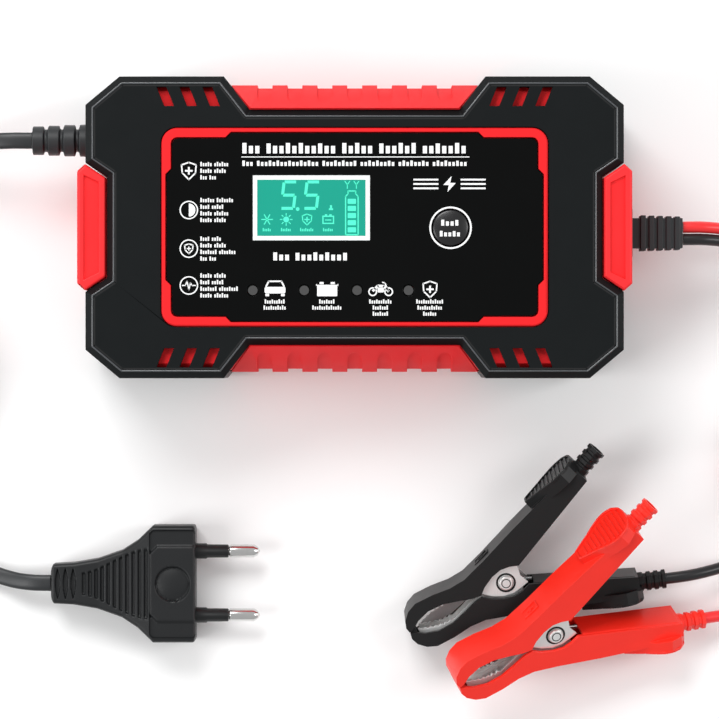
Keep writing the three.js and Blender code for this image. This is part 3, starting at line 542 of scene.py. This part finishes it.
def add_mains_cord():
    """The flat mains cord, from its gland through the coil to the plug."""
    points = MAINS_ROUTE + wound(MAINS_COIL, MAINS_TURNS) + PLUG_ROUTE
    path = smooth_path(points, 2.5)
    total = path_length(path)
    mesh = sweep_mesh(
        "mains_cord_visual", path, flat_section(CORD_WIDTH, CORD_THICKNESS), mains_twist(total))
    cord = place("mains_cord_visual", mesh, SHEATH)
    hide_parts("mains_cord_a", "mains_coil", "mains_cord_b")
    print("mains cord length, mm:", round(total, 1))
    return cord, path, total


def mains_twist(total):
    """The flat cord lies flat at its two ends and stands on edge in the coil."""
    first, last = 60 / total, 1 - 45 / total
    spread = 55 / total

    def turn(t):
        rise = min(max((t - first) / spread, 0), 1)
        fall = min(max((last - t) / spread, 0), 1)
        part = min(rise, fall)
        return 90 * part * part * (3 - 2 * part)
    return turn


def add_lead(name, offset, route, material, nodes):
    """One clamp lead, beside the other through the gland and the shared coil."""
    points = (
        beside(OUTPUT_ROUTE, offset) + wound(OUTPUT_COIL, OUTPUT_TURNS, offset) + route)
    path = smooth_path(points, 2.5)
    total = path_length(path)
    lead = place(name, sweep_mesh(name, path, round_section(LEAD_DIAMETER)), material)
    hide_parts(*nodes)
    print(name, "length, mm:", round(total, 1))
    return lead, path, total


def strap(name, centre, angle, inner, outer, low, high, width=6.0, thick=0.6):
    """A flat tie round the coil's bundle at one angle."""
    turn = math.radians(angle)
    along = Vector((-math.sin(turn), math.cos(turn), 0))
    outward = Vector((math.cos(turn), math.sin(turn), 0))
    loop = box_outline(inner, low, outer, high, 1.6)
    middle = ((inner + outer) / 2, (low + high) / 2)
    points, faces = [], []
    count = len(loop)
    for side, grow in ((-1, 0), (-1, 1), (1, 1), (1, 0)):
        for r, z in loop:
            gx = math.copysign(min(abs(r - middle[0]), 1), r - middle[0]) * thick * grow
            gz = math.copysign(min(abs(z - middle[1]), 1), z - middle[1]) * thick * grow
            spot = Vector((centre[0], centre[1], 0)) + outward * (r + gx) + along * side * width / 2
            points.append((spot.x, spot.y, z + gz))
    for ring in range(4):
        after = (ring + 1) % 4
        for k in range(count):
            n = (k + 1) % count
            faces.append([ring * count + k, ring * count + n, after * count + n, after * count + k])
    place(name, mesh_from(name, points, faces), TIE)


add_camera()
add_studio()
MAINS, MAINS_PATH, MAINS_TOTAL = add_mains_cord()
RED, RED_PATH, RED_TOTAL = add_lead(
    "red_lead_visual", LEAD_OFFSET, [(142, -101.3, 1.9)] + RED_ROUTE, RED_SHEATH,
    ["red_lead_a", "red_lead_b"])
BLACK, BLACK_PATH, BLACK_TOTAL = add_lead(
    "black_lead_visual", -LEAD_OFFSET, [(142, -97.5, 1.9)] + BLACK_ROUTE, BLACK_SHEATH,
    ["black_lead_a", "black_lead_b", "dc_coil"])
for index, angle in enumerate((75, 165)):
    strap(f"mains_tie_{index + 1}", MAINS_COIL, angle, 22.2, 33.6, 1.1, 10.1)
    strap(f"output_tie_{index + 1}", OUTPUT_COIL, angle, 12.9, 27.1, 1.1, 7.2)


def add_skins():
    """Every CAD node whose shape is right keeps it, with rounded edges and a real finish."""
    rounded = {
        "top_armour": (ARMOUR, 0.5), "bottom_armour": (ARMOUR, 0.6), "upper_shell": (GRIP_RED, 0.5),
        "lower_shell": (SHELL_RED, 0.5), "left_end_pad": (PAD_RED, 0.6),
        "right_end_pad": (PAD_RED, 0.6), "bezel_frame": (GRIP_RED, 0.4), "label_panel": (FILM, 0.15),
        "mains_gland": (GLAND, 0.4), "output_gland": (GLAND, 0.3), "mode_button": (BUTTON_BLACK, 0.3)}
    for node, (material, width) in rounded.items():
        skin(node, material, width)
    for colour, material in (("red", RED_BOOT), ("black", BLACK_BOOT)):
        for half in ("upper", "lower"):
            skin(f"{colour}_{half}_handle", material, 0.45)
            skin(f"{colour}_{half}_jaw", NICKEL, 0.12, 2)
        skin(f"{colour}_rivet", NICKEL, 0.25)
    for pin in "ab":
        skin(f"plug_pin_{pin}", PIN_METAL, 0.3)


def paint(node, material):
    """Gives a CAD node its finish and leaves its mesh alone."""
    NODES[node].data.materials.clear()
    NODES[node].data.materials.append(material)


def add_plain_finishes():
    """The pieces that stay as CAD made them, with a finish each."""
    finishes = {
        "lcd_module": WINDOW, "tact_switch": CASING, "display_board": BOARD, "main_board": BOARD,
        "transformer_core": FERRITE, "transformer_winding": COPPER, "bulk_capacitor": CASING,
        "output_capacitor": CASING, "primary_heatsink": SINK, "output_heatsink": SINK,
        "switching_transistor": CASING, "output_diode": CASING, "mains_choke": COPPER,
        "mains_fuse": CASING}
    for index in range(1, 5):
        finishes[f"case_screw_{index}"] = SCREW
        finishes[f"foot_{index}"] = FOOT
        finishes[f"status_light_{index}"] = LENS
    for node, material in finishes.items():
        paint(node, material)


add_skins()
add_plain_finishes()

# ---- Panel artwork ----

def shield(x, y, size):
    return [
        (x - size, y + size * 0.8), (x, y + size * 1.15), (x + size, y + size * 0.8),
        (x + size * 0.9, y - size * 0.3), (x, y - size * 1.2), (x - size * 0.9, y - size * 0.3)]


def cross(x, y, size, width):
    return [
        box_outline(x - size, y - width / 2, x + size, y + width / 2),
        box_outline(x - width / 2, y + width / 2, x + width / 2, y + size),
        box_outline(x - width / 2, y - size, x + width / 2, y - width / 2)]


def car(x, y):
    shapes = [
        box_outline(x - 3, y - 1.5, x + 3, y + 0.4, 0.5),
        box_outline(x - 2.8, y - 2.3, x - 1.7, y - 1.6, 0.2),
        box_outline(x + 1.7, y - 2.3, x + 2.8, y - 1.6, 0.2)]
    roof = [(x - 2.6, y + 0.5), (x - 1.8, y + 2), (x + 1.8, y + 2), (x + 2.6, y + 0.5)]
    return shapes + stroke(roof, 0.45)


def battery_block(x, y):
    return [
        box_outline(x - 2.9, y - 2.1, x + 2.9, y + 1.2, 0.2),
        box_outline(x - 2.2, y + 1.35, x - 1, y + 2, 0.1),
        box_outline(x + 1, y + 1.35, x + 2.2, y + 2, 0.1),
        box_outline(x - 3.2, y + 0.9, x - 2.95, y + 1.4), box_outline(x + 2.95, y + 0.9, x + 3.2, y + 1.4)]


def motorcycle(x, y):
    wheels = ring_band(x - 2.3, y - 1, 1.1, 0.4, 16) + ring_band(x + 2.3, y - 1, 1.1, 0.4, 16)
    body = [(x - 2.2, y - 0.7), (x - 0.8, y + 0.7), (x + 0.9, y + 0.6), (x + 2.2, y - 0.8)]
    bars = [(x + 2.2, y - 0.8), (x + 1.2, y + 1.5), (x + 0.5, y + 1.7)]
    engine = box_outline(x - 0.9, y - 1.2, x + 0.9, y + 0.2, 0.3)
    return wheels + stroke(body, 0.7) + stroke(bars, 0.35) + [engine]


LEFT_ROWS = ((16.2, "shield", (11, 10, 6)), (4.9, "half", (13, 9, 11, 10)),
             (-6.2, "guard", (8, 10, 14, 6)), (-16.8, "pulse", (10, 9, 15, 11)))


def left_column():
    """Four ringed symbols down the panel's left side, each with its rows of small writing."""
    shapes = []
    for y, sign, rows in LEFT_ROWS:
        x = -47.7
        if sign == "shield":
            outline = shield(x, y, 2.1)
            shapes += stroke(outline, 0.4, True) + cross(x, y, 1.1, 0.5)
        else:
            shapes += ring_band(x, y, 2.5, 0.35, 28)
        if sign == "half":
            shapes.append([
                (x + 1.9 * math.sin(math.radians(18 * k)), y + 1.9 * math.cos(math.radians(18 * k)))
                for k in range(11)][::-1])
        if sign == "guard":
            shapes += stroke(shield(x, y, 1.2), 0.35, True) + cross(x, y, 0.6, 0.3)
        if sign == "pulse":
            shapes += stroke([
                (x - 1.9, y), (x - 1, y), (x - 0.5, y + 1.3), (x, y - 1.3), (x + 0.5, y + 0.8),
                (x + 0.9, y), (x + 1.9, y)], 0.32)
        top = y + 0.95 * (len(rows) - 1)
        for line, letters in enumerate(rows):
            half = letters // 2
            shapes += writing(-44.4, top - 1.9 * line - 0.6, 1.25, (half, letters - half), 0.56)
    return shapes


def bottom_symbols():
    """The four charging symbols beside the lights."""
    shapes = car(-22.9, -17.6) + battery_block(-7.9, -17.8) + motorcycle(7.5, -17.6)
    shapes += stroke(shield(21.7, -17.9, 2), 0.4, True) + cross(21.7, -17.9, 1.05, 0.5)
    for x, rows in ((-22.9, (9, 10)), (-7.9, (7, 13)), (7.5, (10, 7, 7)), (21.7, (12, 11, 6))):
        for line, letters in enumerate(rows):
            width = letters * 0.66
            shapes += writing(x - width / 2, -22 - 1.75 * line, 1.2, (letters,), 0.55)
    return shapes


def panel_writing():
    """Title, second line and rating in place of the real words."""
    shapes = writing_between(-32.3, 32.6, 21.2, 3.0, (3, 11, 5, 6, 7))
    shapes.append(box_outline(-32.6, 20.05, 33, 20.3))
    shapes += writing_between(-32.3, 32.6, 17.6, 1.55, (3, 16, 9, 9, 8, 9))
    shapes += writing_between(-23.4, -1.6, -9.6, 2.3, (3, 9))
    return shapes


def bolt_mark(x, y):
    """A plain bolt between two bars, where the panel carries a mark."""
    bolt = [
        (x + 0.6, y + 2.3), (x - 1.8, y - 0.3), (x - 0.2, y - 0.3), (x - 0.6, y - 2.3),
        (x + 1.8, y + 0.3), (x + 0.2, y + 0.3)]
    bars = [box_outline(x + s * 6.8 - 3.6, y - 0.8 + k, x + s * 6.8 + 3.6, y - 0.3 + k)
            for s in (-1, 1) for k in (-0.7, 0.55, 1.8)]
    return [bolt[:3] + bolt[5:], bolt[2:]] + bars


SEGMENT_BARS = {
    "top": ((0.0, 1.0), (1.0, 1.0)), "middle": ((0.0, 0.5), (1.0, 0.5)), "bottom": ((0.0, 0.0), (1.0, 0.0)),
    "upper_left": ((0.0, 0.5), (0.0, 1.0)), "upper_right": ((1.0, 0.5), (1.0, 1.0)),
    "lower_left": ((0.0, 0.0), (0.0, 0.5)), "lower_right": ((1.0, 0.0), (1.0, 0.5))}
FIVE = ("top", "upper_left", "middle", "lower_right", "bottom")


def digit(x, y, width, height, bars):
    """One seven-bar numeral, leaning a little."""
    shapes = []
    lean = 0.12
    for bar in bars:
        (ax, ay), (bx, by) = SEGMENT_BARS[bar]
        start = (x + ax * width + ay * height * lean, y + ay * height)
        end = (x + bx * width + by * height * lean, y + by * height)
        dx, dy = (end[0] - start[0]) * 0.1, (end[1] - start[1]) * 0.1
        shapes += stroke([(start[0] + dx, start[1] + dy), (end[0] - dx, end[1] - dy)], 0.85)
    return shapes


def display_shapes():
    """Numerals, small symbols and the battery bars of the lit display."""
    shapes = digit(-21.2, 5.4, 3.6, 7.6, FIVE) + digit(-14.6, 5.4, 3.6, 7.6, FIVE)
    shapes += [
        disc(-16.4, 5.2, 0.55, 10), box_outline(-7.4, 4.9, -6.2, 5.4),
        box_outline(-7.1, 5.4, -6.5, 6.3)]
    for k in range(3):
        turn = math.radians(60 * k)
        dx, dy = 1.6 * math.cos(turn), 1.6 * math.sin(turn)
        shapes += stroke([(-25.2 - dx, 2.2 - dy), (-25.2 + dx, 2.2 + dy)], 0.3)
    shapes.append(disc(-19.7, 2.2, 0.85, 14))
    for k in range(8):
        turn = math.radians(45 * k)
        c, s = math.cos(turn), math.sin(turn)
        shapes += stroke([(-19.7 + 1.15 * c, 2.2 + 1.15 * s), (-19.7 + 1.75 * c, 2.2 + 1.75 * s)], 0.28)
    shapes += stroke(shield(-13.7, 2.2, 1.35), 0.32, True) + cross(-13.7, 2.2, 0.75, 0.35)
    shapes += frame_band(-9.3, 0.9, -5.9, 3.3, 0.35) + [
        box_outline(-8.6, 3.3, -7.9, 3.7), box_outline(-7.3, 3.3, -6.6, 3.7),
        box_outline(-8.5, 1.9, -6.7, 2.2)]
    for x, letters in ((-25.2, 5), (-19.7, 6), (-13.7, 8), (-7.6, 6)):
        width = letters * 0.5
        shapes += writing(x - width / 2, -1.2, 0.95, (letters,), 0.52)
    shapes += stroke([(-2.6, -2.2), (-2.6, 8.8), (-1.9, 9.6), (-1.9, 10.4), (0.3, 10.4), (0.3, 9.6),
                      (1, 8.8), (1, -2.2)], 0.35, True)
    shapes += [box_outline(-2, -1.5 + 2.05 * k, 0.4, -0.05 + 2.05 * k, 0.2) for k in range(5)]
    for x in (-2.1, 0.5):
        shapes += stroke([(x, 11.1), (x, 12.2), (x - 0.7, 13.2)], 0.28)
        shapes += stroke([(x, 12.2), (x + 0.7, 13.2)], 0.28)
    return shapes


def add_artwork():
    """The print on the panel, the display and the button; blocks stand for the words."""
    white = left_column() + bottom_symbols() + panel_writing() + bolt_mark(27.3, 12.4)
    artwork("panel_artwork", white, PANEL_TOP, INK_WHITE)
    artwork(
        "display_border", frame_band(-29.3, -3.8, 4.4, 14.9, 1.25), LCD_TOP, INK_WHITE)
    artwork("display_content", display_shapes(), LCD_TOP, SEGMENT)
    x, y = BUTTON_AT
    artwork("button_ring", ring_band(x, y, 5.86, 0.5, 48), PANEL_TOP, INK_WHITE)
    marks = writing_between(x - 2.7, x + 2.7, y + 0.6, 1.7, (4,)) + writing_between(
        x - 3.1, x + 3.1, y - 2.5, 1.6, (5,))
    artwork("button_marks", marks, BUTTON_TOP, INK_WHITE, "mode_button")


# ---- Case details ----

RIM_INSET, SHADOW_LINE_INSET = 2.1, 2.75
PAD_FACE = 43.15
ARMOUR_QUARTER = ((71.5, 14.5), (77.6, 18.6), (77.6, 35.3), (67.8, 43.5), (37.7, 43.5), (30.2, 34.0))


def drawn_in(outline, inset):
    """A closed outline, given anticlockwise, moved inwards by the inset."""
    moved = []
    count = len(outline)
    for k in range(count):
        before, here, after = (Vector(outline[(k + n) % count]) for n in (-1, 0, 1))
        first, second = (here - before).normalized(), (after - here).normalized()
        middle = Vector((-first.y - second.y, first.x + second.x)).normalized()
        moved.append(here + middle * inset / max(middle.dot(Vector((-first.y, first.x))), 0.3))
    return [(point.x, point.y) for point in moved]


def armour_outline():
    """The case's outline from above, anticlockwise, from one quarter of it."""
    quarter = list(ARMOUR_QUARTER)
    back = [(-x, y) for x, y in quarter[::-1]]
    return quarter + back + [(-x, -y) for x, y in quarter] + [(x, -y) for x, y in quarter[::-1]]


def add_rim():
    """A fine raised bead along the rim of the case's top, its colour lighter than the case's as a painted
    highlight, with a thin near-black line of painted shadow inside it where a channel's shade falls.
    """
    bead = artwork(
        "rim_bead_highlight", stroke(drawn_in(armour_outline(), RIM_INSET), 0.45, True), PANEL_TOP - 0.1, BEAD_HIGHLIGHT,
        thick=0.28)
    edge = bead.modifiers.new("Edge", "BEVEL")
    edge.width = 0.14 * MM
    edge.segments = 2
    # A thin near-black line inside the bead: painted shadow in place of a channel.
    artwork(
        "rim_channel_shadow", stroke(drawn_in(armour_outline(), SHADOW_LINE_INSET), 0.4, True), PANEL_TOP, GROOVE_SHADE,
        thick=0.02)


def add_pad_recess_shades():
    """A smooth plate of darker red on the recessed face of each end pad: painted shade for the recess."""
    for index, end in enumerate((-1, 1)):
        outline = [(end * 73.8, -12.8), (end * 77.9, -14.8), (end * 77.9, 14.8), (end * 73.8, 12.8)]
        artwork(
            f"pad_recess_shade_{index + 1}", [outline if end > 0 else outline[::-1]], PAD_FACE, PAD_RECESS_SHADE,
            thick=0.12)


add_artwork()
add_rim()
add_pad_recess_shades()

# ---- Plug ----

PLUG_FRONT, PLUG_BACK, PLUG_Y, PLUG_MIDDLE = -47.2, -90.0, -104.5, 6.95
PLUG_PLAN = (
    (-90.0, 5.0), (-89.2, 5.9), (-83.2, 6.2), (-76.2, 7.4), (-69.0, 9.9), (-64.2, 13.0), (-59.7, 17.3),
    (-47.2, 17.3))
PLUG_SIDE = ((-90.0, 4.6), (-76.0, 4.9), (-68.0, 5.6), (-60.7, 6.85), (-47.2, 6.85))
PLATEAU_HALF, PLATEAU_LENGTH = 10.9, 12.5
PLUG_END_RADIUS = 0.9
PIN_OFFSET = 9.5
DIMPLE_AT, DIMPLE_RADIUS = 6.7, 5.1


def along_line(table, x):
    """The value at x on a line through the table's points."""
    for (x0, y0), (x1, y1) in zip(table, table[1:]):
        if x <= x1:
            return y0 + (y1 - y0) * (x - x0) / (x1 - x0)
    return table[-1][1]


def step_between(low, high, value):
    """Rises smoothly from 0 to 1 between the low and the high value."""
    t = min(max((value - low) / (high - low), 0), 1)
    return t * t * (3 - 2 * t)


def plug_relief(x, y):
    """How far the plug's face lies below its highest level."""
    across = abs(y)
    back_of_block = PLUG_FRONT - PLATEAU_LENGTH
    sunk = 0.0
    if x > back_of_block - 1:
        edge = PLATEAU_HALF - max(0.0, 1.3 - (x - back_of_block))
        sunk += 0.75 * step_between(edge, edge + 0.5, across)
    rib_reach = 3 + 7.2 * step_between(-82.2, -61, x)
    if -81.6 < x < -60.4:
        wave = 0.5 - 0.5 * math.cos(2 * math.pi * (x + 60.9) / 1.85)
        inside = 1 - step_between(rib_reach - 0.4, rib_reach + 0.4, across)
        sunk += 0.85 * inside * step_between(0.35, 0.65, wave)
    for slot_at in (-83.4, -85.7, -88.0):
        reach = abs(x - slot_at) / 0.8 + (across / 4.7) ** 2
        sunk += 0.9 * (1 - step_between(0.75, 1.05, reach))
    distance = math.hypot(x - PLUG_FRONT + DIMPLE_AT, y)
    if distance < DIMPLE_RADIUS + 0.4:
        bowl = 1.15 - 0.75 * (1 - (distance / DIMPLE_RADIUS) ** 2)
        sunk += max(bowl, 0) * (1 - step_between(DIMPLE_RADIUS - 0.25, DIMPLE_RADIUS + 0.2, distance))
    return sunk


def plug_section(x, shrink, count=84):
    """The closed section of the plug at one place along its length."""
    half = along_line(PLUG_PLAN, x) - shrink
    tall = along_line(PLUG_SIDE, x) - shrink
    curve = 1.3
    section = []
    for face in (1, -1):
        for k in range(count):
            t = k / (count - 1) * 2 - 1
            y = half * t * face
            inside = half - abs(y)
            drop = 0.0
            if inside < curve:
                drop = curve - math.sqrt(max(curve ** 2 - (curve - inside) ** 2, 0))
            level = tall - max(drop, 0)
            if inside > curve:
                level -= plug_relief(x, y) * step_between(curve, curve + 0.3, inside)
            section.append((x, PLUG_Y + y, PLUG_MIDDLE + face * level))
    return section


def sleeve(y, points, faces, sides=20):
    """One pin's sleeve, with its thicker collar next to the plug."""
    profile = (
        (-1.5, 2.3), (3.1, 2.3), (3.4, 2.0), (9.4, 1.95), (9.7, 1.75), (9.7, 1.55), (-1.5, 1.55))
    first = len(points)
    for x, radius in profile:
        for k in range(sides):
            turn = 2 * math.pi * k / sides
            points.append((
                PLUG_FRONT + x, y + radius * math.cos(turn), PLUG_MIDDLE + radius * math.sin(turn)))
    rows = len(profile)
    for row in range(rows):
        after = (row + 1) % rows
        for k in range(sides):
            n = (k + 1) % sides
            faces.append([
                first + row * sides + k, first + after * sides + k, first + after * sides + n,
                first + row * sides + n])


def add_plug():
    """The moulded plug and the sleeves of its two pins, in one piece."""
    columns = 230
    points, faces = [], []
    for i in range(columns):
        x = PLUG_BACK + (PLUG_FRONT - PLUG_BACK) * i / (columns - 1)
        end = min(PLUG_FRONT - x, x - PLUG_BACK)
        inside = max(PLUG_END_RADIUS - end, 0)
        shrink = PLUG_END_RADIUS - math.sqrt(max(PLUG_END_RADIUS ** 2 - inside ** 2, 0))
        points += plug_section(x, shrink)
    around = len(points) // columns
    for i in range(columns - 1):
        for k in range(around):
            a, b = i * around + k, i * around + (k + 1) % around
            faces.append([a, a + around, b + around, b])
    faces.append(list(range(around)))
    faces.append([(columns - 1) * around + k for k in range(around)][::-1])
    for side in (-1, 1):
        sleeve(PLUG_Y + side * PIN_OFFSET, points, faces)
    plug = place("plug_visual", mesh_from("plug_visual", points, faces, sharp=60), PLUG)
    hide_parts("plug_body")


# ---- Clamps ----

CLAMP_SCALE = 0.95
CLAMPS = {
    "red": ((57.8, -117.2, 19.2), 27.5, 2.0, 30.0, RED_BOOT),
    "black": ((44.6, -103.2, 9.6), 27.5, -4.6, 11.0, BLACK_BOOT)}


def clamp_frame(colour):
    """From a clamp's own axes, at its rivet, to the shared frame, in millimetres."""
    pivot, heading, pitch, roll, _ = CLAMPS[colour]
    return (
        Matrix.Translation(pivot) @ Matrix.Rotation(math.radians(heading), 4, "Z")
        @ Matrix.Rotation(math.radians(pitch), 4, "Y") @ Matrix.Rotation(math.radians(roll), 4, "X")
        @ Matrix.Scale(CLAMP_SCALE, 4))


def plates(layers, to_clamp):
    """Closed plates: each layer is an outline in a plane with the plate's low and high level."""
    points, faces = [], []
    for outline, low, high in layers:
        first, count = len(points), len(outline)
        for level in (low, high):
            points += [tuple(to_clamp @ Vector((a, b, level))) for a, b in outline]
        faces.append([first + k for k in range(count)][::-1])
        faces.append([first + count + k for k in range(count)])
        for k in range(count):
            n = (k + 1) % count
            faces.append([first + k, first + n, first + count + n, first + count + k])
    return points, faces


def clamp_piece(name, colour, half, layers, plane, material, bevel=0.25):
    """A piece of a clamp, built from plates lying in the given plane of the clamp's own axes."""
    turned = Matrix.Rotation(math.pi, 4, "X") if half == "lower" else Matrix.Identity(4)
    points, faces = plates(layers, clamp_frame(colour) @ turned @ plane)
    body = f"{colour}_upper_half" if half == "upper" else BODY
    piece = place(name, mesh_from(name, points, faces), material, body)
    edge = piece.modifiers.new("Edge", "BEVEL")
    edge.width = bevel * MM
    edge.segments = 2
    edge.limit_method = "ANGLE"
    edge.harden_normals = True
    return piece


def lying(u, v, w, angle):
    """A plane whose own x runs along the handle and whose own z points out of its back."""
    turn = Matrix.Translation((u, v, w)) @ Matrix.Rotation(math.radians(angle), 4, "Z")
    return turn @ Matrix(((1, 0, 0, 0), (0, 0, 1, 0), (0, -1, 0, 0), (0, 0, 0, 1)))


THUMB_MIDDLE = 9.8
THUMB_EDGE = (
    (0.0, 2.4), (3.0, 3.9), (6.0, 5.2), (9.0, 7.0), (12.0, 8.2), (14.5, 8.3), (17.0, 7.4),
    (19.0, 4.9), (19.6, 2.6))


def thumb_layers():
    """The thumb pad's raised rim and its cross ribs."""
    upper = [(u - THUMB_MIDDLE, w) for u, w in THUMB_EDGE]
    outline = upper + [(u, -w) for u, w in upper][::-1]
    inner = [(u * 0.93, w * 0.9) for u, w in outline]
    layers = []
    count = len(outline)
    for k in range(count):
        n = (k + 1) % count
        layers.append(([inner[k], inner[n], outline[n], outline[k]], 1.0, 1.9))
    for rib in range(10):
        u = -7.2 + 1.62 * rib
        reach = along_line(upper, u) * 0.9 - 0.9
        layers.append((box_outline(u, -reach, u + 0.75, reach), 1.0, 1.75))
    return layers


def cover_outline():
    """The flat wall that closes a handle on the side that faces the other one."""
    return box_outline(1.6, -4.9, 33.3, 4.9)


SPRING_INNER, SPRING_OUTER = 1.8, 3.2
SPRING_LEG_ANGLE = 27


def add_clamp_details(colour):
    """The small pieces of one clamp that CAD leaves plain; gives back their names."""
    boot = CLAMPS[colour][4]
    pieces = []
    for half in ("upper", "lower"):
        thumb = lying(17.4, 17.9, 0, 17) @ Matrix.Translation((THUMB_MIDDLE, 0, 0))
        pieces.append(clamp_piece(
            f"{colour}_{half}_thumb_ribs", colour, half, thumb_layers(), thumb, boot, 0.2))
        cover = lying(6.2, 3.4, 0, 24.3)
        pieces.append(clamp_piece(
            f"{colour}_{half}_inner_wall", colour, half, [(cover_outline(), -0.1, 0.9)], cover, boot))
        badge = lying(-3.4, 9.85, 0, 21.5)
        mark = cross(0, 0, 1.2, 0.6) if colour == "red" else [box_outline(-1.2, -0.3, 1.2, 0.3)]
        border = [(shape, -0.4, 0.28) for shape in frame_band(-2.9, -2.1, 2.9, 2.1, 0.45)]
        border += [(shape, -0.4, 0.28) for shape in mark]
        pieces.append(clamp_piece(
            f"{colour}_{half}_badge", colour, half, border, badge, boot, 0.08))
        legs = [([(2.2, -0.6), (8.4, -0.6), (8.4, 0.6), (2.2, 0.6)], -0.6, 0.6)]
        leg_plane = Matrix.Rotation(math.radians(SPRING_LEG_ANGLE), 4, "Z")
        leg = clamp_piece(
            f"{colour}_{half}_spring_leg", colour, half, legs, leg_plane, SPRING, 0.3)
        pieces.append(leg)
    # Dark rings on the ear round the rivet and on the rivet's head: painted shade of the hollow rivet.
    shade_rings = [(shape, 4.3, 4.46) for shape in ring_band(0, 0, 2.8, 0.6, 24)]
    shade_rings += [(shape, 5.4, 5.54) for shape in ring_band(0, 0, 1.35, 0.3, 20)]
    pieces.append(clamp_piece(
        f"{colour}_rivet_shade_rings", colour, "fixed", shade_rings, Matrix.Identity(4), GROOVE_SHADE, 0.02))
    turns = []
    for level in range(4):
        low = -1.9 + level * 0.97
        for k in range(24):
            a, b = math.radians(15 * k), math.radians(15 * (k + 1))
            quad = [
                (radius * math.cos(turn), radius * math.sin(turn)) for radius, turn in (
                    (SPRING_INNER, a), (SPRING_OUTER, a), (SPRING_OUTER, b), (SPRING_INNER, b))]
            turns.append((quad, low, low + 0.86))
    coil = clamp_piece(
        f"{colour}_spring_coil", colour, "fixed", turns, Matrix.Identity(4), SPRING, 0.1)
    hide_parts(f"{colour}_spring")
    return [piece.name for piece in pieces] + [coil.name]


add_plug()
CLAMP_PIECES = {colour: add_clamp_details(colour) for colour in CLAMPS}
